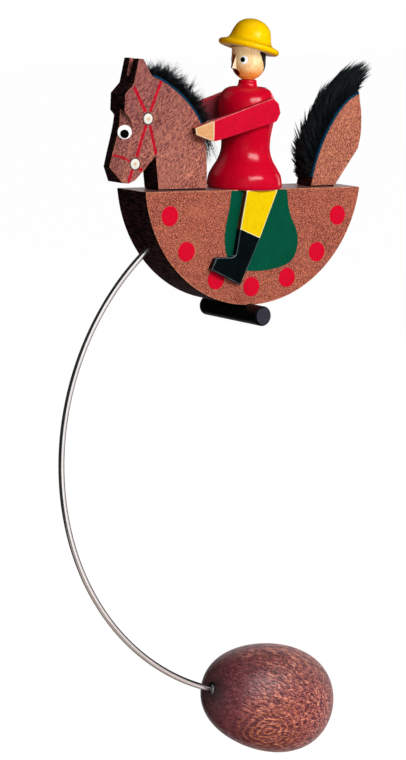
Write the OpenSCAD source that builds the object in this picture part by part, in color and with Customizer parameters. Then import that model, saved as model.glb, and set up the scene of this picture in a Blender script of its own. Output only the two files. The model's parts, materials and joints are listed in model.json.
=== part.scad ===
// Balancing rocking-horse rider: a wooden toy that stands on one dowel at a
// shelf's edge and is kept upright by a wooden egg on a long bent wire.
//
// Frame: origin on the axis of the pivot dowel, halfway along it. +Z is up,
// -X is the way the horse looks, -Y is the horse's left side.
// Sizes are in millimetres. Everything but the dowel is drawn in the toy's own
// level frame and then leaned about the dowel to its balanced attitude.

/* [Rocker] */
// Radius of the rocker's round edge
rocker_r = 66; // [64:0.5:68]
// Thickness of the rocker board
rocker_t = 26; // [25:0.5:28]
// How far the flat top lies below the centre of the round edge
rocker_cut = 8; // [7:0.5:9]
// Sideways place of the rocker's centre from the dowel
rocker_x = 0.8; // [0:0.1:1.5]
// How far the toy leans back when it balances, in degrees
lean = 2.2; // [0:0.1:4]

/* [Pivot dowel] */
// Diameter of the pivot dowel
dowel_d = 10; // [9:0.5:11]
// Length of the pivot dowel
dowel_len = 50; // [46:1:56]
// Chamfer on the dowel's ends
dowel_chamfer = 0.8; // [0.3:0.1:1.2]
// How deep the dowel is let into the rocker
dowel_let_in = 0.6; // [0.4:0.1:1]
// Running clearance around the dowel, on the radius
dowel_gap = 0.05; // [0.03:0.01:0.08]

/* [Horse] */
// Thickness of the board that the head and the tail are sawn from
board_t = 13; // [12:0.5:14]
// Angle of the planed muzzle sides, in degrees
muzzle_angle = 30; // [26:1:33]
// Radius of the cutter that leaves the eye pockets
pocket_r = 12.5; // [11:0.5:14]
// Diameter of the two bridle studs
stud_d = 5.4; // [4.5:0.1:6]
// How far the bridle studs stand out on each side
stud_out = 0.5; // [0.3:0.1:0.8]
// Thickness of the leather under the mane and the tail hair
leather_t = 1.1; // [0.8:0.1:1.5]
// Length of the mane's hair
mane_len = 7.5; // [6:0.5:9]
// Diameter of the hidden pegs and neck pins
peg_d = 5; // [4:0.5:6]

/* [Eyes] */
// Diameter of a loose-pupil eye
eye_d = 7; // [6:0.1:7.2]
// Diameter of the loose pupil
pupil_d = 4.2; // [3.6:0.1:4.4]
// Height of the eye from its back to the top of its dome
eye_h = 2; // [2:0.1:2.6]

/* [Rider] */
// Sideways place of the rider's axis
rider_x = 3.3; // [2.5:0.1:4.5]
// Radius of the skirt of the turned body
skirt_r = 19; // [18:0.5:20]
// Radius of the head
head_r = 8.55; // [8:0.05:9]
// Radius of the hat's brim
brim_r = 15.5; // [14:0.25:16]
// How far the hat is pushed back, in degrees
hat_tilt = 14; // [6:1:16]
// Thickness of the flat arms
arm_t = 4.2; // [3:0.1:4.5]
// Thickness of the flat legs
leg_t = 3.4; // [2.5:0.1:3.8]
// Angle of the arms towards the neck, in degrees
arm_angle = 10; // [9:0.5:11]

/* [Counterweight] */
// Diameter of the bent wire
wire_d = 3; // [2.5:0.1:3.2]
// Radius of the wire's one long bend, along its middle
bend_r = 132.4; // [131:0.1:134]
// Half of the egg's length
egg_a = 35.3; // [34.5:0.1:36]
// Middle radius of the egg
egg_b = 27.8; // [26:0.1:29]
// How much wider the far end of the egg is
egg_k = 0.115; // [0.08:0.005:0.15]
// Slope of the egg's long axis, in degrees
egg_tilt = 14.2; // [12:0.1:17]
// Sideways place of the egg's centre
egg_x = 27.45; // [26:0.05:29]

/* [Hidden] */
$fn = 96;

dowel_r = dowel_d / 2;
rocker_bottom = dowel_r - dowel_let_in;
rocker_z = rocker_bottom + rocker_r;
top = rocker_z - rocker_cut;
half_t = rocker_t / 2;
half_b = board_t / 2;

// --- curves ---------------------------------------------------------------
// one point of a smooth curve through p1 and p2
function curve_point(p0, p1, p2, p3, t) =
  0.5 * (2 * p1 + (p2 - p0) * t + (2 * p0 - 5 * p1 + 4 * p2 - p3) * t * t
  + (3 * p1 - p0 - 3 * p2 + p3) * t * t * t);
// smooth curve through every point of p, n steps between neighbours
function curve(p, n) = let (m = len(p) - 1)
  concat([for (i = [0:m - 1], k = [0:n - 1])
    curve_point(p[max(i - 1, 0)], p[i], p[i + 1], p[min(i + 2, m)], k / n)], [p[m]]);
function unit(v) = v / norm(v);
// normal to the left of the direction of travel
function side(c, i) = let (a = c[max(i - 1, 0)], b = c[min(i + 1, len(c) - 1)], d = unit(b - a)) [-d[1], d[0]];
// the curve moved sideways by d
function moved(c, d) = [for (i = [0:len(c) - 1]) c[i] + d * side(c, i)];
function reversed(c) = [for (i = [len(c) - 1:-1:0]) c[i]];

// --- outlines, [x, z] in the level frame ------------------------------------
// crest of the neck, from behind the ears down to the rider
crest = curve([[-57.8, 118.3], [-52.7, 116.3], [-47, 113], [-41, 108.8], [-35.9, 104.2],
  [-31.4, 99], [-28.4, 93.6], [-26.2, 87.2], [-25, 80.6], [-24.4, 73.2]], 3);
// stretch of the crest that carries the mane
mane_edge = [for (i = [0:20]) crest[i]];
head_outline = concat(
  [[-52.7, top], [-55.3, 79.6], [-61.9, 72.5], [-67, 67.7], [-70.4, 66.3], [-74.2, 66.5],
   [-79.7, 74.1], [-78.1, 81.2], [-76.7, 86.6],
   [-75.4, 91.4], [-74.7, 95.6], [-74.3, 101], [-74.2, 109.9], [-69.3, 115], [-66.8, 127],
   [-63.9, 127], [-59.2, 119.4]],
  crest, [[-24, top]]);
// hair-covered front edge of the tail, from the rocker up to the tip
tail_edge = curve([[41.3, 67.2], [42.3, 71.6], [43.6, 75.8], [45.6, 81.2], [48.8, 88.2], [52.8, 94.9],
  [57.9, 101.6], [63.2, 106.4], [69, 109.6]], 3);
tail_outline = concat([[55, top], [40.4, top]], tail_edge,
  reversed(curve([[69.3, 81.4], [70.7, 87.6], [71, 94], [70.6, 100.4], [69.4, 106.4]], 3)));

// --- placing ----------------------------------------------------------------
module level() { rotate([0, lean, 0]) children(); }
// a flat board of thickness t cut to an [x, z] outline, centred on y = 0
module board(t, outline) { rotate([90, 0, 0]) linear_extrude(t, center = true) polygon(outline); }
module across(r, h) { rotate([90, 0, 0]) cylinder(r = r, h = h, center = true); }

// crease where the planed muzzle side runs out on the left face
crease = [-69.7, -half_b, 89.5];
crease_slope = 12;
// local frame of the planed side: x towards the back, y up the nose, z outward
module on_muzzle(s) {
  mirror([0, s, 0]) translate(crease) rotate([0, crease_slope, 0]) rotate([90, 0, 0])
    rotate([0, -muzzle_angle, 0]) children();
}
eye_u = -3.8;
eye_v = 1.2;
// the right eye is set a little further back
eye_back_set = 1.3;
module on_eye(s) { on_muzzle(s) translate([eye_u + s * eye_back_set, eye_v, 0]) children(); }

// left arm frame: x along the arm from the hand, z outward
module on_arm(s) {
  mirror([0, s, 0]) translate([-37, -half_b - 0.1, 0]) rotate([0, 0, -arm_angle])
    rotate([90, 0, 0]) children();
}

// --- pivot ------------------------------------------------------------------
module pivot_dowel() {
  color([0.06, 0.06, 0.07]) {
    across(dowel_r, dowel_len - 2 * dowel_chamfer);
    for (s = [0, 1]) mirror([0, s, 0])
      translate([0, -dowel_len / 2 + dowel_chamfer, 0]) rotate([90, 0, 0])
        cylinder(r1 = dowel_r, r2 = dowel_r - dowel_chamfer, h = dowel_chamfer);
  }
}

// --- rocker -----------------------------------------------------------------
wire_top_angle = 130.8;
wire_low_angle = 252;
bend_c = [bend_r - 101.3, -68.6];
wire_in = bend_c + bend_r * [cos(wire_top_angle), sin(wire_top_angle)];
wire_out = bend_c + bend_r * [cos(wire_low_angle), sin(wire_low_angle)];
shank = 20;
neck_pin_x = [-46, -33];
tail_peg_x = [46.2, 52];
peg_half = 11;
pin_half = 13;

module upper_shank(r, before) {
  translate([wire_in[0], 0, wire_in[1]]) rotate([0, 180 - wire_top_angle, 0])
    translate([0, 0, -before]) cylinder(r = r, h = shank + before);
}
module lower_shank(r, before) {
  translate([wire_out[0], 0, wire_out[1]]) rotate([0, 360 - wire_low_angle, 0])
    translate([0, 0, -before]) cylinder(r = r, h = shank + before);
}
module pegs(xs, r, h) { for (x = xs) translate([x, 0, top]) cylinder(r = r, h = h, center = true); }

module rocker() {
  color([0.62, 0.33, 0.24]) difference() {
    level() difference() {
      translate([rocker_x, 0, rocker_z]) rotate([90, 0, 0])
        cylinder(r = rocker_r, h = rocker_t, center = true, $fn = 180);
      translate([-100, -50, top]) cube([200, 100, 100]);
      pegs(neck_pin_x, peg_d / 2, 2 * pin_half);
      pegs(tail_peg_x, peg_d / 2, 2 * peg_half);
      translate([rider_x, 0, top]) cylinder(r = peg_d / 2, h = 2 * peg_half, center = true);
      upper_shank(wire_d / 2, 4);
    }
    across(dowel_r + dowel_gap, rocker_t + 2);
  }
}

// --- horse's head -------------------------------------------------------------
stud_at = [[-60.5, 97.8], [-67.4, 75.8]];
module horse_head() {
  color([0.64, 0.35, 0.28]) level() difference() {
    board(board_t, head_outline);
    // slot between the ears
    translate([-74, 0, 0]) rotate([90, 0, 90]) linear_extrude(17)
      polygon([[-1, 118.6], [1, 118.6], [2.1, 130], [-2.1, 130]]);
    // planed muzzle sides that end in round eye pockets
    for (s = [0, 1]) on_muzzle(s) linear_extrude(12) {
      translate([-pocket_r, 0]) circle(r = pocket_r);
      translate([-2 * pocket_r, -40]) square([2 * pocket_r, 40]);
    }
    // round seat of the right eye
    on_eye(1) cylinder(r = eye_r + 0.1, h = 12);
    for (p = stud_at) translate([p[0], 0, p[1]]) across(stud_d / 2, board_t + 2);
    pegs(neck_pin_x, peg_d / 2, 2 * pin_half);
  }
}
module neck_pins() { color([0.7, 0.7, 0.72]) level() pegs(neck_pin_x, peg_d / 2, 2 * pin_half); }
module bridle_studs() {
  color([0.95, 0.93, 0.88]) level()
    for (p = stud_at) translate([p[0], 0, p[1]]) across(stud_d / 2, board_t + 2 * stud_out);
}
module mane_leather() {
  color([0.02, 0.2, 0.32]) level()
    board(board_t, concat(mane_edge, reversed(moved(mane_edge, leather_t))));
}
module mane_hair() {
  inner = moved(mane_edge, leather_t);
  n = len(mane_edge) - 1;
  // short behind the ears, full over the crest, thinning down the neck
  outer = [for (i = [0:n]) let (f = i / n)
    mane_edge[i] + side(mane_edge, i) * (leather_t + mane_len * (0.35 + 0.65 * sin(min(f * 260, 90))) * (1 - 0.3 * f * f))];
  color([0.05, 0.05, 0.07]) level() board(board_t - 1, concat(inner, reversed(outer)));
}

// --- loose-pupil eyes -----------------------------------------------------------
eye_r = eye_d / 2;
back_t = 0.4;
dome_t = 0.35;
rim_h = 0.8;
cap_h = eye_h - back_t - rim_h;
cap_R = (eye_r * eye_r + cap_h * cap_h) / (2 * cap_h);
in_r = eye_r - dome_t;
in_cap = cap_h - 0.25;
in_R = (in_r * in_r + in_cap * in_cap) / (2 * in_cap);
// [r, z] points of a spherical cap of radius R and rise h above z, from rim to crown
function cap_arc(R, r, z, h) = let (a = asin(r / R))
  [for (i = [0:8]) let (t = a * (1 - i / 8)) [i == 8 ? 0 : R * sin(t), z + h - R + R * cos(t)]];
pupil_r = pupil_d / 2;
pupil_t = 0.5;
pupil_z = back_t + 0.12;
// the pupil hangs at the lowest place that its cup allows
fall = unit([cos(muzzle_angle) * sin(lean + crease_slope), -cos(lean + crease_slope)]);
pupil_off = (in_r - pupil_r - 0.12) * fall;

module eye_back(s) {
  color([0.96, 0.96, 0.96]) level() on_eye(s) cylinder(r = eye_r, h = back_t);
}
module eye_dome(s) {
  color([0.85, 0.9, 0.92]) level() on_eye(s) rotate_extrude()
    polygon(concat([[in_r, back_t], [eye_r, back_t]], cap_arc(cap_R, eye_r, back_t + rim_h, cap_h),
      reversed(cap_arc(in_R, in_r, back_t + rim_h - 0.1, in_cap))));
}
module pupil(s) {
  color([0.03, 0.03, 0.03]) level() on_eye(s)
    translate([pupil_off[0], pupil_off[1], pupil_z]) cylinder(r = pupil_r, h = pupil_t);
}
module left_eye_back() { eye_back(0); }
module left_eye_dome() { eye_dome(0); }
module left_pupil() { pupil(0); }
module right_eye_back() { eye_back(1); }
module right_eye_dome() { eye_dome(1); }
module right_pupil() { pupil(1); }

// --- tail ---------------------------------------------------------------------
module tail_block() {
  color([0.62, 0.36, 0.24]) level() difference() {
    board(board_t, tail_outline);
    pegs(tail_peg_x, peg_d / 2, 2 * peg_half);
  }
}
module tail_pegs() { color([0.85, 0.68, 0.45]) level() pegs(tail_peg_x, peg_d / 2, 2 * peg_half); }
module tail_leather() {
  color([0.02, 0.2, 0.32]) level()
    board(board_t, concat(tail_edge, reversed(moved(tail_edge, leather_t))));
}
module tail_hair() {
  inner = moved(tail_edge, leather_t);
  outer = curve([[38.9, 67.6], [37.2, 74], [37.2, 81], [38.6, 87.4], [42.8, 96.2], [50.2, 105.8], [59.2, 114.4],
    [67.6, 120.4], [75.6, 123], [72.6, 114]], 3);
  color([0.05, 0.05, 0.07]) level() board(board_t - 1, concat(inner, reversed(outer)));
}

// --- rider --------------------------------------------------------------------
torso_side = curve([[skirt_r - 0.5, 0], [skirt_r, 1.2], [skirt_r - 0.1, 3.2], [skirt_r - 0.8, 6.6],
  [16.2, 10.4], [14.2, 13.7], [12.9, 17.2], [12.4, 20.8], [12.6, 24.8], [13.3, 29.4], [14.1, 34.2],
  [14.6, 39], [14.4, 43.2], [13.4, 46.6], [11.6, 49], [9, 50.3], [4.9, 50.7]], 2);
collar_r = 4.7;
collar_h = 3.3;
torso_h = 50.7;
neck_z = top + torso_h + collar_h;
head_z = neck_z + head_r - 0.35;
neck_peg_r = 2;

module rider_shape() {
  translate([rider_x, 0, top]) rotate_extrude()
    polygon(concat([[0, 0]], torso_side,
      [[collar_r, torso_h], [collar_r, torso_h + collar_h], [0, torso_h + collar_h]]));
}
module rider_torso() {
  color([0.82, 0.02, 0.16]) level() difference() {
    rider_shape();
    for (s = [0, 1]) arm(s);
    translate([rider_x, 0, top]) cylinder(r = peg_d / 2, h = 2 * peg_half, center = true);
    translate([rider_x, 0, neck_z - 7]) cylinder(r = neck_peg_r, h = 10);
  }
}
module rider_peg() {
  color([0.85, 0.68, 0.45]) level()
    translate([rider_x, 0, top]) cylinder(r = peg_d / 2, h = 2 * peg_half, center = true);
}
// round below, straight from the middle up into the hat
head_up = 8.4;
module head_ball() {
  intersection() {
    translate([rider_x, 0, head_z]) sphere(r = head_r);
    translate([rider_x - 20, -20, neck_z]) cube([40, 40, head_z - neck_z]);
  }
  translate([rider_x, 0, head_z]) cylinder(r = head_r, h = head_up);
}
module rider_head() {
  color([0.92, 0.74, 0.5]) level() difference() {
    head_ball();
    translate([rider_x, 0, neck_z - 1]) cylinder(r = neck_peg_r, h = 8);
  }
}
module rider_neck_peg() {
  color([0.85, 0.68, 0.45]) level() translate([rider_x, 0, neck_z - 7]) cylinder(r = neck_peg_r, h = 14);
}
nose_w = 2.6;
module rider_nose() {
  color([0.95, 0.78, 0.56]) level() difference() {
    translate([rider_x, 0, head_z]) rotate([90, 0, 0]) linear_extrude(nose_w, center = true)
      polygon([[-head_r + 2, -2.7], [-head_r - 2.2, -2.5], [-head_r + 0.2, 5], [-head_r + 2, 5.2]]);
    head_ball();
  }
}
hat_side = curve([[11.2, 4.5], [10.6, 5.6], [10.15, 7], [9.5, 9.4], [8.1, 12.3], [5.4, 14.6], [2, 15.7], [0, 15.9]], 3);
module rider_hat() {
  color([0.98, 0.78, 0.02]) level() difference() {
    translate([rider_x - 0.5, 0, head_z + 6.6]) rotate([0, hat_tilt, 0]) rotate_extrude()
      polygon(concat([[0, 0], [brim_r - 1.9, 0], [brim_r - 0.9, 0.25], [brim_r - 0.25, 0.85], [brim_r, 1.6],
        [brim_r - 0.25, 2.3], [brim_r - 0.9, 2.85], [brim_r - 1.7, 3.15], [12.9, 3.4], [12, 3.8]], hat_side));
    head_ball();
  }
}
// flat arm: sleeve with an eight-sided shoulder, and a tapering hand
arm_outline = [[2.9, 90], [12.4, 86.6], [16.4, 87.5], [45, 95.9], [47, 96.9], [48.8, 101],
  [47.6, 105.7], [44.6, 108.3], [12.75, 97], [2.4, 93.3]];
// the right arm is set a little higher and swung up about its shoulder
shoulder = [46, 101.8];
arm_lift = 3;
arm_swing = 4.8;
module arm(s) {
  on_arm(s) translate([0, s * arm_lift, 0]) translate(shoulder) rotate([0, 0, -s * arm_swing]) translate(-shoulder)
    linear_extrude(arm_t) polygon(arm_outline);
}
module left_arm() { color([0.84, 0.04, 0.2]) level() arm(0); }
module right_arm() { color([0.84, 0.04, 0.2]) level() arm(1); }
// flat leg: trouser and boot in one piece on the rocker's face
leg_outline = [[-6.4, top], [-9.8, 43], [-11.6, 31.4], [-12.6, 29.8], [-14.2, 29.2], [-23.6, 29.2],
  [-26.5, 23.5], [-8.6, 15.2], [2.3, 38.2], [12.4, top]];
module leg(s) {
  mirror([0, s, 0]) translate([0, -half_t, 0]) rotate([90, 0, 0]) linear_extrude(leg_t) polygon(leg_outline);
}
module left_leg() { color([0.95, 0.8, 0.05]) level() leg(0); }
module right_leg() { color([0.95, 0.8, 0.05]) level() leg(1); }

// --- counterweight --------------------------------------------------------------
// the wire's bend, a hair short at both ends
trim = 0.05;
module bend(c, R, from, to) {
  translate([c[0], 0, c[1]]) rotate([90, 0, 0]) rotate([0, 0, from + trim])
    rotate_extrude(angle = to - from - 2 * trim, $fn = 180) translate([R, 0]) circle(r = wire_d / 2, $fn = 48);
}
// short straight stretch where the bend runs into a shank, at the angle a about the centre c
module splice(c, R, a) {
  translate([c[0], 0, c[1]]) rotate([0, -a, 0]) translate([R, 0, 0]) cylinder(r = wire_d / 2 + 0.02, h = 1.2, center = true);
}
module balance_wire() {
  color([0.75, 0.74, 0.73]) level() {
    bend(bend_c, bend_r, wire_top_angle, wire_low_angle);
    splice(bend_c, bend_r, wire_top_angle);
    splice(bend_c, bend_r, wire_low_angle);
    upper_shank(wire_d / 2, -0.1);
    lower_shank(wire_d / 2, -0.1);
  }
}
egg_z = -203.3;
// blunt-ended egg, from the wire's end to the far end
egg_side = [for (i = [0:36]) let (t = -cos(i * 5))
  [i == 0 || i == 36 ? 0 : egg_b * pow(sin(i * 5), 0.7) * (1 + egg_k * t), egg_a * t]];
module counterweight_egg() {
  color([0.42, 0.2, 0.16]) level() difference() {
    translate([egg_x, 0, egg_z]) rotate([0, 90 + egg_tilt, 0]) rotate_extrude($fn = 128) polygon(egg_side);
    lower_shank(wire_d / 2, 4);
  }
}

pivot_dowel();
rocker();
horse_head();
neck_pins();
bridle_studs();
mane_leather();
mane_hair();
left_eye_back();
left_eye_dome();
left_pupil();
right_eye_back();
right_eye_dome();
right_pupil();
tail_block();
tail_pegs();
tail_leather();
tail_hair();
rider_torso();
rider_peg();
rider_head();
rider_neck_peg();
rider_nose();
rider_hat();
left_arm();
right_arm();
left_leg();
right_leg();
balance_wire();
counterweight_egg();
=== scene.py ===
import json
import math

import bmesh
import bpy
import numpy as np
from mathutils import Matrix, Vector
from mathutils.bvhtree import BVHTree

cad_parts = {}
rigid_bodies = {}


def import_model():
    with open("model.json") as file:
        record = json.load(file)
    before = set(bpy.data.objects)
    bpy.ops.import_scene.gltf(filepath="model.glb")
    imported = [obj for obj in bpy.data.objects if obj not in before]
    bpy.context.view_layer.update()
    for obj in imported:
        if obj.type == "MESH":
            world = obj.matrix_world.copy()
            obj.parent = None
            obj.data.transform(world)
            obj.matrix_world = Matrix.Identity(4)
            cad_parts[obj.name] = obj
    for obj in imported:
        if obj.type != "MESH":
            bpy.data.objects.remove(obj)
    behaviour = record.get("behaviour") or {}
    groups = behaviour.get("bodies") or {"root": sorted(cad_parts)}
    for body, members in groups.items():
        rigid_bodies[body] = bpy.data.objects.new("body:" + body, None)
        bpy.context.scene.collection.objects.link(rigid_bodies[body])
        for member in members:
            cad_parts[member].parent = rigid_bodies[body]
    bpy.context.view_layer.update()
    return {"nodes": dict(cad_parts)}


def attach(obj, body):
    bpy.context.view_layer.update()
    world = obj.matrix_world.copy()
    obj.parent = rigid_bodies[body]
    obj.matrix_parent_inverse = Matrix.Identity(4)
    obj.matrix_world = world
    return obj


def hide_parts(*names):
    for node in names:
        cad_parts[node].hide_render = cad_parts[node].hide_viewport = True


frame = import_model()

# ---------------------------------------------------------------------------
# frame: shapes are drawn in the toy's level frame in millimetres, then leaned
# about the pivot dowel and brought to metres
LEAN = math.radians(2.2)
LEVEL = Matrix.Rotation(LEAN, 4, "Y") @ Matrix.Scale(0.001, 4)
PLAIN = Matrix.Scale(0.001, 4)
TOP = 62.4
ROCKER_Z = 70.4
ROCKER_X = 0.8
RIDER_X = 3.3
NECK_Z = 116.4
HEAD_R = 8.55
HEAD_Z = NECK_Z + HEAD_R - 0.35
HEAD_UP = 8.4
RNG = np.random.default_rng(7)


def srgb(r, g, b, a=1.0):
    def lin(c):
        c /= 255.0
        return c / 12.92 if c <= 0.04045 else ((c + 0.055) / 1.055) ** 2.4
    return (lin(r), lin(g), lin(b), a)


# ---------------------------------------------------------------------------
# materials
class Mat:
    def __init__(self, name):
        self.m = bpy.data.materials.new(name)
        self.m.use_nodes = True
        self.t = self.m.node_tree
        self.t.nodes.clear()
        self.out = self.node("ShaderNodeOutputMaterial")
        self.b = self.node("ShaderNodeBsdfPrincipled")
        self.t.links.new(self.b.outputs[0], self.out.inputs["Surface"])

    def node(self, kind, inputs=None, **props):
        n = self.t.nodes.new(kind)
        for k, v in props.items():
            setattr(n, k, v)
        for k, v in (inputs or {}).items():
            if hasattr(v, "is_output"):
                self.t.links.new(v, n.inputs[k])
            else:
                n.inputs[k].default_value = v
        return n

    def set(self, **kw):
        for k, v in kw.items():
            k = k.replace("_", " ")
            s = self.b.inputs[k]
            if hasattr(v, "is_output"):
                self.t.links.new(v, s)
            else:
                s.default_value = v
        return self

    def coords(self, rot=(0, 0, 0), scale=(1, 1, 1), shift=(0, 0, 0), kind="Object"):
        """Object coordinates in millimetres, turned and then stretched."""
        tc = self.node("ShaderNodeTexCoord")
        a = self.node("ShaderNodeMapping", {"Vector": tc.outputs[kind], "Rotation": rot,
                                            "Location": shift,
                                            "Scale": (1000, 1000, 1000) if kind == "Object" else (1, 1, 1)})
        b = self.node("ShaderNodeMapping", {"Vector": a.outputs[0], "Scale": scale})
        return b.outputs[0]

    def noise(self, co, scale, detail=2.0, rough=0.5, distort=0.0):
        return self.node("ShaderNodeTexNoise", {"Vector": co, "Scale": scale, "Detail": detail,
                                                "Roughness": rough, "Distortion": distort}).outputs["Fac"]

    def ramp(self, fac, stops):
        n = self.node("ShaderNodeValToRGB", {"Fac": fac})
        e = n.color_ramp.elements
        while len(e) < len(stops):
            e.new(0.5)
        for el, (p, c) in zip(e, stops):
            el.position = p
            el.color = c if len(c) == 4 else (*c, 1)
        return n.outputs["Color"]

    def map(self, v, a, b, c, d):
        return self.node("ShaderNodeMapRange", {"Value": v, "From Min": a, "From Max": b,
                                                "To Min": c, "To Max": d}).outputs[0]

    def math(self, op, a, b=0.0):
        n = self.node("ShaderNodeMath", operation=op)
        for i, v in enumerate((a, b)):
            if hasattr(v, "is_output"):
                self.t.links.new(v, n.inputs[i])
            else:
                n.inputs[i].default_value = v
        return n.outputs[0]

    def mix(self, fac, a, b, blend="MIX"):
        n = self.node("ShaderNodeMix", data_type="RGBA", blend_type=blend)
        for i, v in ((0, fac), (6, a), (7, b)):
            if hasattr(v, "is_output"):
                self.t.links.new(v, n.inputs[i])
            else:
                n.inputs[i].default_value = v
        return n.outputs[2]

    def bump(self, height, dist_mm, strength=1.0, normal=None):
        n = self.node("ShaderNodeBump", {"Height": height, "Distance": dist_mm * 0.001, "Strength": strength})
        if normal is not None:
            self.t.links.new(normal, n.inputs["Normal"])
        self.t.links.new(n.outputs[0], self.b.inputs["Normal"])
        return n.outputs[0]


def stained_wood(name, dark, base, light, rot=(0, 0, 0), speck=1.8, stretch=2.6, rough=(0.46, 0.66),
                 bump=0.04, pores=0.25, broad=0.18, fade=None, spec=0.12):
    """Stained beech: a fine fleck along the grain, short dark pores, soft bands."""
    m = Mat(name)
    along = m.coords(rot, (1.0 / stretch, 1, 1))
    fine = m.noise(along, speck, 1.2, 0.5, 0.2)
    grit = m.noise(m.coords(rot, (0.6, 1, 1)), speck * 1.25, 1.0, 0.6)
    f = m.math("ADD", m.math("MULTIPLY", fine, 0.65), m.math("MULTIPLY", grit, 0.35))
    col = m.ramp(f, [(0.42, dark), (0.495, base), (0.575, light)])
    hue = m.noise(m.coords(rot, (0.45, 1, 1)), 0.95, 2.0, 0.6)
    col = m.mix(m.map(hue, 0.42, 0.62, 0.0, 0.55), col, m.mix(1.0, col, (0.86, 0.84, 1.12, 1), "MULTIPLY"))
    col = m.mix(m.map(hue, 0.34, 0.46, 0.55, 0.0), col, m.mix(1.0, col, (1.10, 1.06, 0.86, 1), "MULTIPLY"))
    dash = m.node("ShaderNodeTexVoronoi", {"Vector": m.coords(rot, (0.32, 1.5, 1.5)), "Scale": 0.9,
                                           "Randomness": 1.0}).outputs["Distance"]
    pore = m.map(dash, 0.10, 0.26, 1.0, 0.0)
    col = m.mix(m.math("MULTIPLY", pore, pores), col, dark)
    bands = m.noise(m.coords(rot, (0.02, 0.34, 0.34)), 1.0, 3.0, 0.55, 0.6)
    col = m.mix(m.map(bands, 0.35, 0.65, broad, 0.0), col, dark)
    cloud = m.noise(m.coords(rot, (0.05, 0.07, 0.07)), 1.0, 2.0, 0.5)
    col = m.mix(m.map(cloud, 0.4, 0.7, 0.0, broad), col, light)
    if fade:
        way, a, b, amount, tint = fade
        run = m.node("ShaderNodeVectorMath", {0: m.coords(), 1: way}, operation="DOT_PRODUCT").outputs["Value"]
        run = m.math("ADD", run, m.map(cloud, 0.3, 0.7, -8.0, 8.0))
        col = m.mix(m.map(run, a, b, 0.0, amount), col, m.mix(1.0, col, tint, "MULTIPLY"))
    m.set(Base_Color=col, Roughness=m.map(f, 0.35, 0.65, rough[1], rough[0]))
    m.b.inputs["Specular IOR Level"].default_value = spec
    m.bump(m.math("SUBTRACT", f, m.math("MULTIPLY", pore, 0.5)), bump, 0.8)
    return m.m


def paint(name, color, rough=0.4, vary=0.08, grain=0.012, coat=0.0, coat_rough=0.08, spec=0.07, rot=(0, 0, 0),
          stretch=3.0, fine=1.3):
    """A coat of paint: a little uneven, with the wood's grain just showing through."""
    m = Mat(name)
    along = m.coords(rot, (1.0 / stretch, 1, 1))
    n1 = m.noise(along, fine, 3.0, 0.6, 0.2)
    n2 = m.noise(m.coords(), 0.09, 2.0, 0.5)
    darker = tuple(c * (1 - 2.6 * vary) for c in color[:3]) + (1,)
    lighter = tuple(min(1.0, c * (1 + 1.6 * vary) + 0.012 * vary) for c in color[:3]) + (1,)
    col = m.ramp(m.math("ADD", m.math("MULTIPLY", n1, 0.7), m.math("MULTIPLY", n2, 0.3)),
                 [(0.33, darker), (0.5, color), (0.68, lighter)])
    m.set(Base_Color=col, Roughness=m.map(n1, 0.3, 0.7, rough + 0.06, max(rough - 0.05, 0.03)))
    m.b.inputs["Specular IOR Level"].default_value = spec
    m.b.inputs["Coat Weight"].default_value = coat
    m.b.inputs["Coat Roughness"].default_value = coat_rough
    m.bump(n1, grain, 0.7)
    return m.m


WOOD_DARK, WOOD_BASE, WOOD_LIGHT = srgb(84, 31, 31), srgb(160, 74, 61), srgb(236, 142, 108)
mat_rocker = stained_wood("rocker_face_wood", WOOD_DARK, WOOD_BASE, WOOD_LIGHT, rot=(0, 0, 0), stretch=2.2, speck=3.6, pores=0.05,
                          broad=0.12)
mat_head = stained_wood("horse_face_wood", srgb(86, 38, 44), srgb(170, 90, 81), srgb(240, 158, 126),
                        rot=(0, math.radians(48), 0), stretch=6.0, speck=3.8, pores=0.05, broad=0.20,
                        fade=((-0.66, 0, 0.75), 74.0, 122.0, 1.0, (0.70, 0.66, 0.80, 1)))
mat_tail = stained_wood("tail_face_wood", srgb(118, 58, 48), srgb(184, 102, 80), srgb(230, 150, 114),
                        rot=(0, math.radians(62), 0), stretch=2.2, speck=3.0, pores=0.06, broad=0.12)
# Sawn edges and undersides near black: partly end grain taking more stain, partly painted shade for faces turned from
# the light.
mat_sawn_stain_and_shade = stained_wood("sawn_edge_stain_and_shade_wood", srgb(21, 14, 15), srgb(38, 23, 24), srgb(70, 41, 40),
                        rot=(0, 0, math.radians(90)), stretch=5.0, speck=1.0, rough=(0.70, 0.86), bump=0.06, spec=0.03)
mat_topwood = stained_wood("rocker_top_wood", srgb(76, 42, 42), srgb(128, 84, 80), srgb(178, 128, 122),
                           rot=(0, 0, 0), stretch=7.0, speck=1.0, rough=(0.30, 0.45), bump=0.03, spec=0.5)
# Paler eased edges: partly stain worn off the edges, partly painted highlight along them.
mat_worn_and_highlight = stained_wood("worn_edge_and_highlight_wood", srgb(160, 82, 58), srgb(212, 126, 90), srgb(240, 170, 128),
                        stretch=2.0, speck=1.6, pores=0.15)
mat_red = paint("dot_red_paint", srgb(226, 8, 46), rough=0.5, vary=0.04, grain=0.015)
mat_green = paint("saddle_green_paint", srgb(0, 84, 60), rough=0.46, vary=0.10, grain=0.02, stretch=2.0)
mat_bridle = paint("bridle_red_paint", srgb(200, 22, 46), rough=0.5, vary=0.12, grain=0.02)
mat_sleeve = paint("sleeve_red_paint", srgb(226, 12, 50), rough=0.42, vary=0.07, grain=0.03, rot=(0, math.radians(-15), 0), stretch=4)
# Darker maroon on the sleeve faces towards the torso, the far arm's seen face among them: painted shade.
mat_sleeve_inner_shade = paint("sleeve_inner_shade_paint", srgb(142, 54, 62), rough=0.46, vary=0.12, grain=0.03, rot=(0, math.radians(-15), 0), stretch=4)
mat_sleeve_edge = paint("sleeve_edge_paint", srgb(196, 20, 46), rough=0.5, vary=0.1, grain=0.03)
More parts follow.
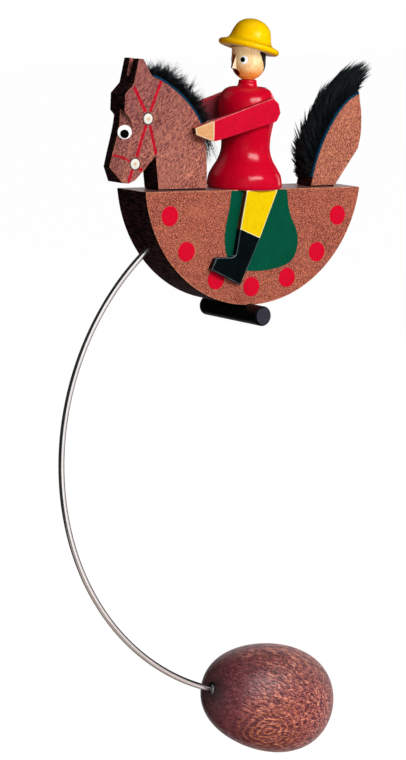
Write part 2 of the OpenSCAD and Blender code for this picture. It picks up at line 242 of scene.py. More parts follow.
# Pale pink on the upper outward edges of the sleeves: painted highlight.
mat_sleeve_highlight = paint("sleeve_highlight_paint", srgb(250, 132, 132), rough=0.45, vary=0.25, grain=0.03)
mat_yellow_leg = paint("trouser_yellow_paint", srgb(254, 212, 0), rough=0.45, vary=0.05, grain=0.03, rot=(0, math.radians(70), 0), stretch=3)
mat_yellow_edge = paint("trouser_edge_paint", srgb(255, 248, 190), rough=0.45, vary=0.04)
# Dark brown on the legs' side faces: partly the edge's own colour, partly painted shade.
mat_leg_side_and_shade = paint("trouser_side_and_shade_paint", srgb(96, 44, 18), rough=0.5, vary=0.12, grain=0.03)
mat_boot = paint("boot_black_paint", srgb(5, 13, 15), rough=0.34, vary=0.2, grain=0.03, spec=0.08)
# Grey-blue on the boot's eased edges: painted glints on the black paint.
mat_boot_edge_glint = paint("boot_edge_glint_paint", srgb(84, 104, 112), rough=0.28, vary=0.55, spec=0.5)
mat_stud = None


def lathe_gloss(name, color, deep, rough, coat, coat_rough, ring_axis, ring=0.9, grain=0.01, spec=0.45):
    """Lacquer over a turned piece: fine turning rings and a faint orange peel."""
    m = Mat(name)
    co = m.coords(ring_axis[0], (1, 1, 1), ring_axis[1])
    rings = m.noise(m.coords(ring_axis[0], (0.02, 0.02, 1.0), ring_axis[1]), ring, 3.0, 0.6)
    peel = m.noise(co, 0.55, 2.0, 0.5)
    fine = m.noise(co, 2.4, 2.0, 0.6)
    f = m.math("ADD", m.math("MULTIPLY", rings, 0.25), m.math("ADD", m.math("MULTIPLY", peel, 0.25), m.math("MULTIPLY", fine, 0.5)))
    col = m.ramp(f, [(0.40, deep), (0.54, color), (1.0, color)])
    m.set(Base_Color=col, Roughness=m.map(fine, 0.3, 0.7, rough - 0.04, rough + 0.07))
    m.b.inputs["Specular IOR Level"].default_value = spec
    m.b.inputs["Coat Weight"].default_value = coat
    m.b.inputs["Coat Roughness"].default_value = coat_rough
    m.bump(f, grain, 0.6)
    return m.m


mat_torso = lathe_gloss("torso_red_lacquer", srgb(226, 6, 44), srgb(208, 4, 38), 0.16, 0.0, 0.2, ((0, -LEAN, 0), (0, 0, 0)), grain=0.012, spec=0.32)
mat_hat = lathe_gloss("hat_yellow_lacquer", srgb(255, 205, 0), srgb(255, 188, 0), 0.18, 0.0, 0.2, ((0, -LEAN - math.radians(14), 0), (0, 0, 0)), grain=0.012, spec=0.20)


def bare_wood(name, dark, base, light, rot=(0, 0, 0), rough=0.38, speck=1.6, stretch=6.0, coat=0.0, bump=0.015):
    m = Mat(name)
    f = m.noise(m.coords(rot, (1.0 / stretch, 1, 1)), speck, 3.0, 0.6, 0.2)
    fine = m.noise(m.coords(rot, (0.5, 1, 1)), 3.2, 2.0, 0.6)
    g = m.math("ADD", m.math("MULTIPLY", f, 0.6), m.math("MULTIPLY", fine, 0.4))
    col = m.ramp(g, [(0.36, dark), (0.5, base), (0.64, light)])
    m.set(Base_Color=col, Roughness=m.map(fine, 0.3, 0.7, rough - 0.05, rough + 0.08))
    m.b.inputs["Coat Weight"].default_value = coat
    m.b.inputs["Coat Roughness"].default_value = 0.15
    m.bump(g, bump, 0.7)
    return m.m


def face_material():
    """Clear-varnished ball, warmer towards the chin: partly the wood's own tone, partly painted bounce light from the
    red torso below.
    """
    m = Mat("face_wood")
    rot = (0, math.radians(80), 0)
    f = m.noise(m.coords(rot, (0.17, 1, 1)), 1.5, 3.0, 0.6, 0.2)
    fine = m.noise(m.coords(rot, (0.5, 1, 1)), 2.4, 2.0, 0.6)
    g = m.math("ADD", m.math("MULTIPLY", f, 0.6), m.math("MULTIPLY", fine, 0.4))
    pale = m.ramp(g, [(0.36, srgb(240, 194, 128)), (0.5, srgb(253, 222, 168)), (0.64, srgb(255, 236, 196))])
    warm_bounce = m.ramp(g, [(0.36, srgb(222, 116, 34)), (0.5, srgb(242, 148, 60)), (0.64, srgb(250, 182, 96))])
    z = m.node("ShaderNodeSeparateXYZ", {"Vector": m.coords()}).outputs[2]
    z = m.math("ADD", z, m.map(m.noise(m.coords(), 0.22, 2.0, 0.5), 0.3, 0.7, -1.6, 1.6))
    # orange towards the chin: partly wood tone, partly painted bounce light from the red torso
    col = m.mix(m.map(z, HEAD_Z - 6.0, HEAD_Z + 2.0, 1.0, 0.0), pale, warm_bounce)
    m.set(Base_Color=col, Roughness=m.map(fine, 0.3, 0.7, 0.36, 0.5))
    m.b.inputs["Specular IOR Level"].default_value = 0.08
    m.bump(g, 0.012, 0.7)
    return m.m


mat_face = face_material()
mat_hand = bare_wood("hand_wood", srgb(228, 154, 92), srgb(245, 178, 116), srgb(250, 196, 140), rot=(0, math.radians(-15), 0), rough=0.45)
# Pale wood for the hand's rims and the nose: partly pale sanded wood, partly painted highlight.
mat_hand_edge_and_highlight = bare_wood("hand_edge_and_highlight_wood", srgb(246, 214, 170), srgb(252, 228, 190), srgb(255, 240, 212), rough=0.45)
# Redder, darker edge faces of the hand: partly the edge's own tone, partly painted shade.
mat_hand_side_and_shade = bare_wood("hand_side_and_shade_wood", srgb(186, 70, 40), srgb(212, 88, 50), srgb(228, 118, 74), rough=0.5)
# Near black on the forward-facing end of the hand: painted shade.
mat_hand_end_shade = bare_wood("hand_end_shade_wood", srgb(40, 14, 12), srgb(66, 22, 18), srgb(104, 36, 26), rough=0.55)
mat_cream = bare_wood("hat_under_wood", srgb(226, 196, 158), srgb(242, 220, 190), srgb(250, 236, 214), rough=0.5)
mat_hairpaint = paint("hair_dark_paint", srgb(34, 22, 20), rough=0.4, vary=0.25, grain=0.02)
mat_eyewhite = paint("eye_white_paint", srgb(254, 254, 253), rough=0.35, vary=0.02, grain=0.006)
mat_eyeblack = paint("eye_black_paint", srgb(10, 12, 18), rough=0.3, vary=0.2, grain=0.006)
# Dark red-brown low on the face: partly painted mouth, partly painted shadow under the nose.
mat_mouth_and_shadow = paint("mouth_and_shadow_paint", srgb(96, 22, 20), rough=0.4, vary=0.15, grain=0.01)


def egg_material():
    """Dark-stained beech: fine straight grain to one side, ray fleck to the other, nested ovals of growth rings low on
    the near side; the straight-grained side is darker, partly painted shade, and a painted shadow lies round the wire's
    entry.
    """
    m = Mat("egg_wood")
    right = Vector((0.824, -0.567, 0.0))
    up = Vector((0.094, 0.136, 0.986))
    out = right.cross(up).normalized()
    if out.y > 0:
        out = -out
    centre = Vector(EGG_C)

    def turned(a):
        """Coordinates with x along the near side, turned a degrees down from level."""
        c, s_ = math.cos(math.radians(a)), math.sin(math.radians(a))
        r0 = right * c - up * s_
        r1 = right * s_ + up * c
        return tuple(Matrix((r0, r1, r0.cross(r1))).to_euler())

    n = (out * 0.82 - up * 0.57 + right * 0.065).normalized()
    s = (right - n * right.dot(n)).normalized()
    t = n.cross(s)
    p0 = centre + n * 27.6
    rot = Matrix((s, t, n))
    co = m.coords(tuple(rot.to_euler()), (1, 1, 1), tuple(-(rot @ p0)))
    sep = m.node("ShaderNodeSeparateXYZ", {"Vector": co})
    wob = m.noise(co, 0.14, 2.0, 0.5)
    ragged = m.noise(co, 0.9, 2.0, 0.6)
    oval = m.math("SQRT", m.math("ADD", m.math("POWER", m.math("MULTIPLY", sep.outputs[0], 0.54), 2.0), m.math("POWER", m.math("MULTIPLY", sep.outputs[1], 0.64), 2.0)))
    oval = m.math("ADD", oval, m.math("ADD", m.math("MULTIPLY", wob, 3.2), m.math("MULTIPLY", ragged, 0.5)))
    saw = m.math("FRACT", m.math("MULTIPLY", oval, 1.0 / 2.0))
    line = m.ramp(saw, [(0.0, (0, 0, 0)), (0.34, (0.05, 0.05, 0.05)), (0.46, (1, 1, 1)), (0.60, (0.05, 0.05, 0.05)), (0.85, (0, 0, 0))])
    hair = m.ramp(saw, [(0.0, (1, 1, 1)), (0.2, (0.8, 0.8, 0.8)), (0.34, (0, 0, 0)), (0.62, (0, 0, 0)), (0.8, (0.8, 0.8, 0.8)), (1.0, (1, 1, 1))])
    near = m.map(oval, 6.0, 14.5, 1.0, 0.0)
    broken = m.map(m.noise(co, 0.35, 2.0, 0.6), 0.35, 0.6, 0.25, 1.0)
    # ray fleck: short dashes, a little wavy
    slow = m.noise(m.coords(turned(17), (0.30, 1.0, 1.0)), 0.90, 1.6, 0.55, 0.9)
    tone = m.noise(m.coords(turned(24), (0.55, 1, 1)), 0.42, 3.0, 0.65, 0.5)
    grit = m.noise(m.coords(turned(10), (0.45, 1, 1)), 1.9, 1.0, 0.6)
    dashes = m.math("ADD", m.math("MULTIPLY", slow, 0.66), m.math("ADD", m.math("MULTIPLY", tone, 0.14), m.math("MULTIPLY", grit, 0.20)))
    fleck = m.ramp(dashes, [(0.39, srgb(66, 28, 34)), (0.47, srgb(122, 58, 60)), (0.545, srgb(168, 88, 78)), (0.63, srgb(224, 146, 120))])
    fine = m.ramp(m.math("ADD", m.math("MULTIPLY", slow, 0.35), m.math("ADD", m.math("MULTIPLY", tone, 0.20), m.math("MULTIPLY", grit, 0.45))),
                  [(0.40, srgb(80, 38, 44)), (0.5, srgb(118, 60, 66)), (0.62, srgb(160, 90, 90))])
    # one side takes the darker straight-grain ramp: partly the wood's grain, partly painted shade on the side turned
    # from the light
    shade_to_lit_run = m.node("ShaderNodeVectorMath", {0: m.coords(), 1: tuple(right)}, operation="DOT_PRODUCT").outputs["Value"]
    shade_to_lit_run = m.math("ADD", shade_to_lit_run, m.map(m.noise(m.coords(), 0.05, 2.0, 0.5), 0.3, 0.7, -8.0, 8.0))
    mid = centre.dot(right)
    col = m.mix(m.map(shade_to_lit_run, mid - 16.0, mid + 4.0, 0.0, 1.0), fine, fleck)
    col = m.mix(m.math("MULTIPLY", hair, m.math("MULTIPLY", near, 0.40)), col, srgb(70, 30, 34))
    col = m.mix(m.math("MULTIPLY", m.math("MULTIPLY", m.math("MULTIPLY", line, broken), near), 0.95), col, srgb(232, 132, 74))
    # painted shadow round the wire's entry, reaching towards the upper right
    hole_shade = m.node("ShaderNodeVectorMath", {0: m.coords(), 1: EGG_HOLE_SHADOW}, operation="DISTANCE").outputs["Value"]
    hole_shade = m.math("ADD", hole_shade, m.map(tone, 0.3, 0.7, -1.5, 1.5))
    col = m.mix(m.map(hole_shade, 2.0, 9.5, 0.72, 0.0), col, srgb(24, 12, 14))
    m.set(Base_Color=col, Roughness=m.map(dashes, 0.4, 0.62, 0.42, 0.28))
    m.b.inputs["Specular IOR Level"].default_value = 0.62
    m.bump(m.math("ADD", dashes, m.math("MULTIPLY", slow, 0.5)), 0.42, 1.0)
    return m.m


def steel_material():
    m = Mat("drawn_steel")
    uv = m.coords(kind="UV", scale=(3.0, 5.0, 1.0))
    lines = m.noise(uv, 1.0, 2.0, 0.5)
    spots = m.noise(m.coords(), 0.12, 2.0, 0.5)
    col = m.ramp(lines, [(0.3, (0.74, 0.72, 0.71)), (0.55, (0.82, 0.81, 0.80)), (0.8, (0.88, 0.87, 0.86))])
    col = m.mix(m.map(spots, 0.45, 0.75, 0.0, 0.22), col, (0.55, 0.50, 0.48, 1))
    m.set(Base_Color=col, Roughness=m.map(lines, 0.3, 0.7, 0.18, 0.24))
    m.b.inputs["Metallic"].default_value = 1.0
    return m.m


def black_dowel_material():
    m = Mat("dowel_black_paint")
    f = m.noise(m.coords((0, 0, 0), (1, 0.12, 1)), 1.2, 3.0, 0.6)
    col = m.ramp(f, [(0.3, srgb(4, 5, 5)), (0.55, srgb(8, 10, 10)), (0.8, srgb(18, 20, 20))])
    m.set(Base_Color=col, Roughness=m.map(f, 0.3, 0.7, 0.42, 0.55))
    m.b.inputs["Specular IOR Level"].default_value = 0.15
    m.bump(f, 0.03, 0.7)
    return m.m


def dowel_rim_material():
    m = Mat("dowel_rim_paint")
    f = m.noise(m.coords(), 1.3, 3.0, 0.6)
    m.set(Base_Color=m.ramp(f, [(0.3, srgb(5, 6, 6)), (0.6, srgb(14, 15, 17)), (0.8, srgb(40, 42, 46))]), Roughness=0.4)
    m.b.inputs["Specular IOR Level"].default_value = 0.2
    m.bump(f, 0.03, 0.7)
    return m.m


def dowel_end_material():
    m = Mat("dowel_end_paint")
    f = m.noise(m.coords(), 1.6, 4.0, 0.65)
    col = m.ramp(f, [(0.34, srgb(36, 34, 42)), (0.5, srgb(56, 54, 64)), (0.7, srgb(80, 78, 90))])
    m.set(Base_Color=col, Roughness=m.map(f, 0.3, 0.7, 0.6, 0.45))
    m.b.inputs["Specular IOR Level"].default_value = 0.1
    m.bump(f, 0.05, 0.8)
    return m.m


def leather_material():
    m = Mat("dyed_leather")
    f = m.noise(m.coords(), 2.2, 3.0, 0.6)
    v = m.node("ShaderNodeTexVoronoi", {"Vector": m.coords(), "Scale": 2.6}, feature="DISTANCE_TO_EDGE").outputs["Distance"]
    col = m.ramp(f, [(0.3, srgb(0, 30, 48)), (0.52, srgb(4, 60, 90)), (0.75, srgb(26, 92, 122))])
    m.set(Base_Color=col, Roughness=0.55)
    m.b.inputs["Specular IOR Level"].default_value = 0.1
    m.bump(m.map(v, 0.0, 0.15, 0.0, 1.0), 0.04, 0.7)
    return m.m


def fur_material(name, root, mid, tip):
    m = Mat(name)
    t = m.node("ShaderNodeAttribute", attribute_name="along").outputs["Fac"]
    s = m.node("ShaderNodeAttribute", attribute_name="shade").outputs["Fac"]
    col = m.ramp(t, [(0.0, root), (0.55, mid), (1.0, tip)])
    col = m.mix(m.map(s, 0.0, 1.0, 0.0, 0.75), col, (0.0, 0.0, 0.0, 1), "MIX")
    col = m.mix(m.math("MULTIPLY", m.map(s, -1.0, 0.0, 1.0, 0.0), t), col, (0.085, 0.10, 0.135, 1), "MIX")
    m.set(Base_Color=col, Roughness=m.map(s, 0.0, 1.0, 0.38, 0.55))
    m.b.inputs["Specular IOR Level"].default_value = 0.25
    m.b.inputs["Sheen Weight"].default_value = 0.0
    m.b.inputs["Sheen Roughness"].default_value = 0.4
    return m.m


def stud_material():
    m = Mat("stud_white_paint")
    r = m.node("ShaderNodeAttribute", attribute_name="rad").outputs["Fac"]
    n = m.noise(m.coords(), 1.1, 3.0, 0.6, 0.8)
    worn = m.map(m.math("ADD", r, m.math("MULTIPLY", n, 1.2)), 0.72, 1.05, 1.0, 0.0)
    bare = m.ramp(m.noise(m.coords((0, 0, 0), (1, 1, 0.4)), 2.2, 3.0, 0.6),
                  [(0.3, srgb(214, 164, 104)), (0.55, srgb(240, 208, 158)), (0.8, srgb(250, 232, 200))])
    col = m.mix(worn, srgb(250, 246, 236), bare)
    # the stud's lip where it meets the wood is darkened: painted shade in the gap
    rim = m.map(r, 0.93, 1.0, 0.0, 0.9)
    col = m.mix(rim, col, srgb(56, 26, 20))
    m.set(Base_Color=col, Roughness=m.map(worn, 0, 1, 0.35, 0.55))
    m.bump(n, 0.03, 0.6)
    return m.m


def eye_dome_material():
    m = Mat("eye_clear_plastic")
    n = m.noise(m.coords(), 0.6, 2.0, 0.5)
    m.set(Base_Color=m.ramp(n, [(0.3, (0.02, 0.02, 0.025)), (0.7, (0.04, 0.04, 0.045))]), Roughness=0.08)
    m.b.inputs["Alpha"].default_value = 0.008
    m.b.inputs["Specular IOR Level"].default_value = 0.8
    return m.m


def glue_material():
    m = Mat("glue_bead")
    n = m.noise(m.coords(), 2.0, 2.0, 0.5)
    m.set(Base_Color=m.ramp(n, [(0.3, srgb(196, 198, 210)), (0.7, srgb(244, 244, 250))]), Roughness=0.16)
    m.b.inputs["Specular IOR Level"].default_value = 0.9
    m.bump(n, 0.05, 0.6)
    return m.m


# Near-black wood standing in for shade: painted shade in the drilled mouths, along the foot of the boards and round the
# studs.
def painted_shade_material():
    m = Mat("painted_shade_dark_wood")
    n = m.noise(m.coords(), 1.6, 3.0, 0.6)
    m.set(Base_Color=m.ramp(n, [(0.3, srgb(8, 5, 5)), (0.7, srgb(26, 14, 12))]), Roughness=0.6)
    return m.m


# ---------------------------------------------------------------------------
# mesh helpers
def add_object(name, bm, mats, body="toy", replaces=(), smooth=40.0, weighted=False, recalc=True):
    if recalc:
        bmesh.ops.recalc_face_normals(bm, faces=bm.faces[:])
    me = bpy.data.meshes.new(name)
    bm.to_mesh(me)
    bm.free()
    for mm in mats:
        me.materials.append(mm)
    o = bpy.data.objects.new(name, me)
    bpy.context.scene.collection.objects.link(o)
    me.shade_smooth()
    if smooth is not None:
        me.set_sharp_from_angle(angle=math.radians(smooth))
    if weighted:
        w = o.modifiers.new("even_shading", "WEIGHTED_NORMAL")
        w.keep_sharp = True
        w.weight = 60
    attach(o, body)
    if replaces:
        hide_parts(*replaces)
    return o


def curve_points(p, n):
    """Smooth curve through the points p, n steps between neighbours."""
    p = [np.array(q, float) for q in p]
    m = len(p) - 1
    out = []
    for i in range(m):
        p0, p1, p2, p3 = p[max(i - 1, 0)], p[i], p[i + 1], p[min(i + 2, m)]
        for k in range(n):
            t = k / n
            out.append(0.5 * (2 * p1 + (p2 - p0) * t + (2 * p0 - 5 * p1 + 4 * p2 - p3) * t * t
                              + (3 * p1 - p0 - 3 * p2 + p3) * t ** 3))
    out.append(p[m])
    return np.array(out)


def lathe(bm, profile, steps, to_mm, frame_matrix, mat_of=None):
    """Turns [r, z] points about Z, then places them with to_mm and frame_matrix."""
    M = frame_matrix @ to_mm
    rings = []
    for r, z in profile:
        if r < 1e-6:
            rings.append([bm.verts.new(M @ Vector((0, 0, z)))])
        else:
            rings.append([bm.verts.new(M @ Vector((r * math.cos(2 * math.pi * k / steps), r * math.sin(2 * math.pi * k / steps), z)))
                          for k in range(steps)])
    for i in range(len(rings) - 1):
        a, b = rings[i], rings[i + 1]
        for k in range(steps):
            k2 = (k + 1) % steps
            if len(a) == 1 and len(b) == 1:
                continue
            if len(a) == 1:
                f = bm.faces.new((a[0], b[k], b[k2]))
            elif len(b) == 1:
                f = bm.faces.new((a[k], b[0], a[k2]))
            else:
                f = bm.faces.new((a[k], b[k], b[k2], a[k2]))
            if mat_of:
                f.material_index = mat_of(i)
    return rings


def refined(node, name, mats, width_mm, body="toy", segments=2, face_mat=None, bevel_mat=None, cuts=(), angle=25.0,
            profile=0.6, foot=None, frames=()):
    """A copy of a part's mesh with its flats made whole and its edges eased."""
    src = frame["nodes"][node].data
    bm = bmesh.new()
    bm.from_mesh(src)
    bmesh.ops.remove_doubles(bm, verts=bm.verts[:], dist=5e-5)
    bmesh.ops.dissolve_degenerate(bm, edges=bm.edges[:], dist=5e-5)
    bmesh.ops.dissolve_limit(bm, angle_limit=math.radians(0.8), verts=bm.verts[:], edges=bm.edges[:])
    for co, no in cuts:
        bmesh.ops.bisect_plane(bm, geom=bm.verts[:] + bm.edges[:] + bm.faces[:], plane_co=co, plane_no=no, dist=1e-7)
    bm.normal_update()
    for f in bm.faces:
        f.material_index = face_mat(f) if face_mat else 0
    for pick, wide, mat in frames:
        for f in [f for f in bm.faces if pick(f)]:
            for g in bmesh.ops.inset_individual(bm, faces=[f], thickness=wide * 0.001, depth=0.0, use_even_offset=True)["faces"]:
                g.material_index = mat
    # The bottom edges where a board sits on the rocker are eased and take material foot: near-black painted shade in
    # the crease.
    if foot is not None:
        low = [e for e in bm.edges if len(e.link_faces) == 2 and e.calc_face_angle(0) > 1.0
               and all((LEVEL_INV @ v.co).z < TOP + 0.05 for v in e.verts)]
        r = bmesh.ops.bevel(bm, geom=low, offset=0.75e-3, offset_type="OFFSET", segments=4, profile=0.5, affect="EDGES", clamp_overlap=False)
        bm.normal_update()
        for f in r["faces"]:
            f.material_index = foot
    edges = [e for e in bm.edges if len(e.link_faces) == 2 and e.calc_face_angle(0) > math.radians(angle)]
    if width_mm > 0 and edges:
        before = set(bm.faces)
        keep = {}
        r = bmesh.ops.bevel(bm, geom=edges, offset=width_mm * 0.001, offset_type="OFFSET", segments=segments,
                            profile=profile, affect="EDGES", clamp_overlap=False, loop_slide=True, miter_outer="SHARP")
        bm.normal_update()
        if bevel_mat is not None:
            for f in r["faces"]:
                if foot is None or (LEVEL_INV @ f.calc_center_median()).z > TOP + 0.8:
                    f.material_index = bevel_mat(f)
    return add_object(name, bm, mats, body, (node,), smooth=38.0, weighted=True)


def film(bm, outline, y0, thick, edge, M, inset_dir, mat=0):
    """A thin coat on a plane of constant y: its edge slopes in over `edge` mm and stands `thick` mm out."""
    pts = [np.array(p, float) for p in outline]
    n = len(pts)
    area = 0.5 * sum(pts[i][0] * pts[(i + 1) % n][1] - pts[(i + 1) % n][0] * pts[i][1] for i in range(n))
    if area < 0:
        pts = pts[::-1]
    inner = []
    for i in range(n):
        a, b, c = pts[i - 1], pts[i], pts[(i + 1) % n]
        d1 = (b - a) / (np.linalg.norm(b - a) + 1e-12)
        d2 = (c - b) / (np.linalg.norm(c - b) + 1e-12)
        nn = np.array([-(d1[1] + d2[1]), d1[0] + d2[0]])
        ln = np.linalg.norm(nn)
        nn = nn / (ln + 1e-12)
        inner.append(b + nn * edge)
    out = inset_dir
    lo = [bm.verts.new(M @ Vector((p[0], y0 - out * 0.03, p[1]))) for p in pts]
    hi = [bm.verts.new(M @ Vector((p[0], y0 + out * thick, p[1]))) for p in inner]
    for i in range(n):
        j = (i + 1) % n
        f = bm.faces.new((lo[i], lo[j], hi[j], hi[i]))
        f.material_index = mat
    f = bm.faces.new(hi)
    f.material_index = mat
    bmesh.ops.triangulate(bm, faces=[f], ngon_method="EAR_CLIP")


# ---------------------------------------------------------------------------
# camera at the photograph's viewing angle
A, E = math.radians(-34.54), math.radians(9.515)
BACK = Vector((math.sin(A) * math.cos(E), -math.cos(A) * math.cos(E), math.sin(E)))
RIGHT = Vector((math.cos(A), math.sin(A), 0))
UP = RIGHT.cross(-BACK)
cam_data = bpy.data.cameras.new("photo_camera")
cam_data.sensor_fit = "VERTICAL"
cam_data.sensor_height = 36.0
cam_data.sensor_width = 36.0
cam_data.lens = 149.9
cam_data.clip_start = 0.05
cam_data.clip_end = 50
cam = bpy.data.objects.new("photo_camera", cam_data)
cam.location = RIGHT * -0.016105 + UP * -0.035135 + BACK * 1.6
cam.rotation_mode = "QUATERNION"
cam.rotation_quaternion = (-BACK).to_track_quat("-Z", "Y")
bpy.context.scene.collection.objects.link(cam)
bpy.context.scene.camera = cam

# ---------------------------------------------------------------------------
# rocker
LEVEL_INV = LEVEL.inverted()


def level_co(v):
    return LEVEL_INV @ v


def side_normal(f):
    n = f.normal.copy()
    n.rotate(Matrix.Rotation(-LEAN, 3, "Y").to_quaternion())
    return n


def rocker_face(f):
    n = side_normal(f)
    if abs(n.y) > 0.9:
        return 0
    if n.z > 0.9:
        return 2
    return 1


rocker = refined("rocker", "rocker_body", [mat_rocker, mat_sawn_stain_and_shade, mat_topwood, mat_worn_and_highlight], 0.35,
                 face_mat=rocker_face, bevel_mat=lambda f: 3 if abs(level_co(f.calc_center_median()).y) > 12.5 else 1)

# painted dots and saddle cloth, the same on both faces
saddle_left = [(-13.7, TOP - 0.3), (-14.2, 57.8), (-14.7, 53.3), (-15.8, 48.0), (-16.7, 42.9), (-16.9, 37.6), (-16.0, 31.6), (-13.2, 26.0), (-8.0, 22.9), (-1.9, 21.6)]
saddle_right = [(6.0, 21.3), (13.7, 22.1), (21.5, 24.0), (25.7, 27.0), (28.0, 31.9), (28.3, 37.6), (26.8, 42.7), (23.9, 47.7), (21.7, 54.2), (20.5, TOP - 0.3)]
saddle = curve_points(saddle_left + saddle_right, 4)


def make_saddle():
    bm = bmesh.new()
    for s in (-1, 1):
        film(bm, saddle, s * 13.0, 0.07, 0.12, LEVEL, s)
    add_object("saddle_cloth_paint", bm, [mat_green], smooth=12)


def make_dots():
    bm = bmesh.new()
    near = [(-50.2, 50.4), (-39.7, 32.5), (-21.3, 18.0), (0.4, 13.6), (22.3, 17.4), (40.5, 29.9), (52.8, 48.3)]
    for s in (-1, 1):
        for i, (x, z) in enumerate(near):
            ph = RNG.uniform(0, 6.28, 3)
            pts = []
            for k in range(56):
                t = 2 * math.pi * k / 56
                r = 5.0 * (1 + 0.010 * math.sin(2 * t + ph[0]) + 0.007 * math.sin(3 * t + ph[1]) + 0.004 * math.sin(7 * t + ph[2]))
                pts.append((x + r * math.cos(t), z + r * math.sin(t)))
            film(bm, pts, s * 13.0, 0.07, 0.14, LEVEL, s)
    add_object("painted_dots", bm, [mat_red], smooth=12)


make_saddle()
make_dots()

# ---------------------------------------------------------------------------
# pivot dowel
def make_dowel():
    bm = bmesh.new()
    r, h = 5.0, 25.0
    prof = [(0, -h + 0.05), (1.0, -h + 0.02), (2.6, -h), (4.0, -h), (4.18, -h + 0.03), (4.3, -h + 0.12), (4.88, -h + 0.68), (4.97, -h + 0.82), (5.0, -h + 1.0)]
    mid = [(5.0, z) for z in np.linspace(-h + 1.6, h - 1.6, 24)]
    prof = prof + mid + [(a, -b) for a, b in prof[::-1]]
    P = Matrix.Rotation(math.radians(90), 4, "X")
    n = len(prof)
    lathe(bm, prof, 96, P, PLAIN, lambda i: 1 if (i < 4 or i >= n - 5) else (2 if (i < 7 or i >= n - 8) else 0))
    add_object("pivot_dowel_turned", bm, [black_dowel_material(), dowel_end_material(), dowel_rim_material()], "pivot", ("pivot_dowel",), smooth=30)


make_dowel()

# ---------------------------------------------------------------------------
# horse's head
def head_face(f):
    n = side_normal(f)
    if abs(n.y) > 0.9:
        return 0
    if abs(n.y) > 0.6:
        return 0
    return 1


def board_edge(f):
    y = abs(side_normal(f).y)
    return 0 if y > 0.94 else (2 if y > 0.3 else 1)


# painted shade for the crease under the head and tail boards
mat_foot_shade = painted_shade_material()
head = refined("horse_head", "horse_head_board", [mat_head, mat_sawn_stain_and_shade, mat_worn_and_highlight, mat_foot_shade], 0.27,
               face_mat=head_face, bevel_mat=board_edge, foot=3)


def bvh_of(node):
    bm = bmesh.new()
    bm.from_mesh(frame["nodes"][node].data)
    t = BVHTree.FromBMesh(bm)
    bm.free()
    return t


head_tree = bvh_of("horse_head")


def on_head(x, z, s):
    """Point of the head's side surface at level (x, z), seen from the side s, and its normal."""
    o = LEVEL @ Vector((x, s * 40, z))
    d = (LEVEL.to_3x3() @ Vector((0, -s, 0))).normalized()
    hit, n, _, _ = head_tree.ray_cast(o, d)
    if hit is None:
        return None, None
    if n.dot(d) > 0:
        n = -n
    return hit, n


def stroke(bm, pts, width, s, thick=0.07):
    """A brushed line over the head's side."""
    c = []
    for i in range(len(pts) - 1):
        a, b = np.array(pts[i], float), np.array(pts[i + 1], float)
        k = max(2, int(np.linalg.norm(b - a) / 0.5))
        for j in range(k):
            c.append(a + (b - a) * j / k)
    c.append(np.array(pts[-1], float))
    c = np.array(c)
    ph = RNG.uniform(0, 6.28, 2)
    rows = []
    for i in range(len(c)):
        d = c[min(i + 1, len(c) - 1)] - c[max(i - 1, 0)]
        d /= np.linalg.norm(d)
        nrm = np.array([-d[1], d[0]])
        w = width * 0.5 * (1 + 0.12 * math.sin(i * 0.7 + ph[0]) + 0.08 * math.sin(i * 1.9 + ph[1]))
        row = []
        for u, h in ((-1.0, -0.02), (-0.86, thick * 0.8), (0.0, thick), (0.86, thick * 0.8), (1.0, -0.02)):
            q = c[i] + nrm * (u * w)
            hit, n = on_head(q[0], q[1], s)
            if hit is None:
                row = None
                break
            row.append(hit + n * (h * 0.001))
        if row:
            rows.append([bm.verts.new(v) for v in row])
        else:
            rows.append(None)
    for a, b in zip(rows[:-1], rows[1:]):
        if a and b:
            for k in range(4):
                bm.faces.new((a[k], a[k + 1], b[k + 1], b[k]))


def make_bridle():
    bm = bmesh.new()
    lines = [
        [(-69.1, 113.4), (-65.6, 107.4), (-62.0, 101.3)],
        [(-53.2, 116.3), (-56.4, 108.6), (-59.2, 101.3)],
        [(-61.4, 94.9), (-64.2, 86.6), (-66.5, 79.2)],
        [(-59.1, 94.6), (-57.0, 87.0), (-55.0, 80.2)],
        [(-78.0, 80.2), (-75.4, 79.4), (-72.9, 78.5), (-70.2, 77.0)],
        [(-64.9, 73.4), (-62.4, 72.4)],
        [(-68.7, 73.0), (-70.9, 66.8)],
    ]
    for s in (-1, 1):
        for i, ln in enumerate(lines):
            stroke(bm, ln, 1.2 if i == 4 else 1.75, s)
    add_object("bridle_paint", bm, [mat_bridle], smooth=14)


make_bridle()


def make_studs():
    bm = bmesh.new()
    lay = bm.verts.layers.float.new("rad")
    h = 7.0
    prof = [(0, -h), (0.9, -h), (1.7, -h + 0.01), (2.25, -h + 0.05), (2.5, -h + 0.14), (2.64, -h + 0.3), (2.7, -h + 0.48), (2.7, -h + 0.7)]
    prof = prof + [(a, -b) for a, b in prof[::-1]]
    for x, z in ((-60.5, 97.8), (-67.4, 75.8)):
        P = Matrix.Translation((x, 0, z)) @ Matrix.Rotation(math.radians(90), 4, "X")
        rings = lathe(bm, prof, 48, P, LEVEL)
        for (r, _), ring in zip(prof, rings):
            for v in ring:
                v[lay] = r / 2.7
    add_object("bridle_stud_buttons", bm, [stud_material()], "toy", ("bridle_studs",), smooth=50)
    # dark ring round each stud: painted shade in the gap where it meets the wood
    bm = bmesh.new()
    for x, z in ((-60.5, 97.8), (-67.4, 75.8)):
        for s in (-1, 1):
            pr = [(2.68, 0.02), (2.80, 0.05), (3.0, 0.05), (3.12, -0.02)]
            P = Matrix.Translation((x, s * 6.5, z)) @ Matrix.Rotation(math.radians(90 * -s), 4, "X")
            lathe(bm, pr, 40, P, LEVEL)
    add_object("stud_gap_shade", bm, [painted_shade_material()], "toy", (), smooth=50)


make_studs()

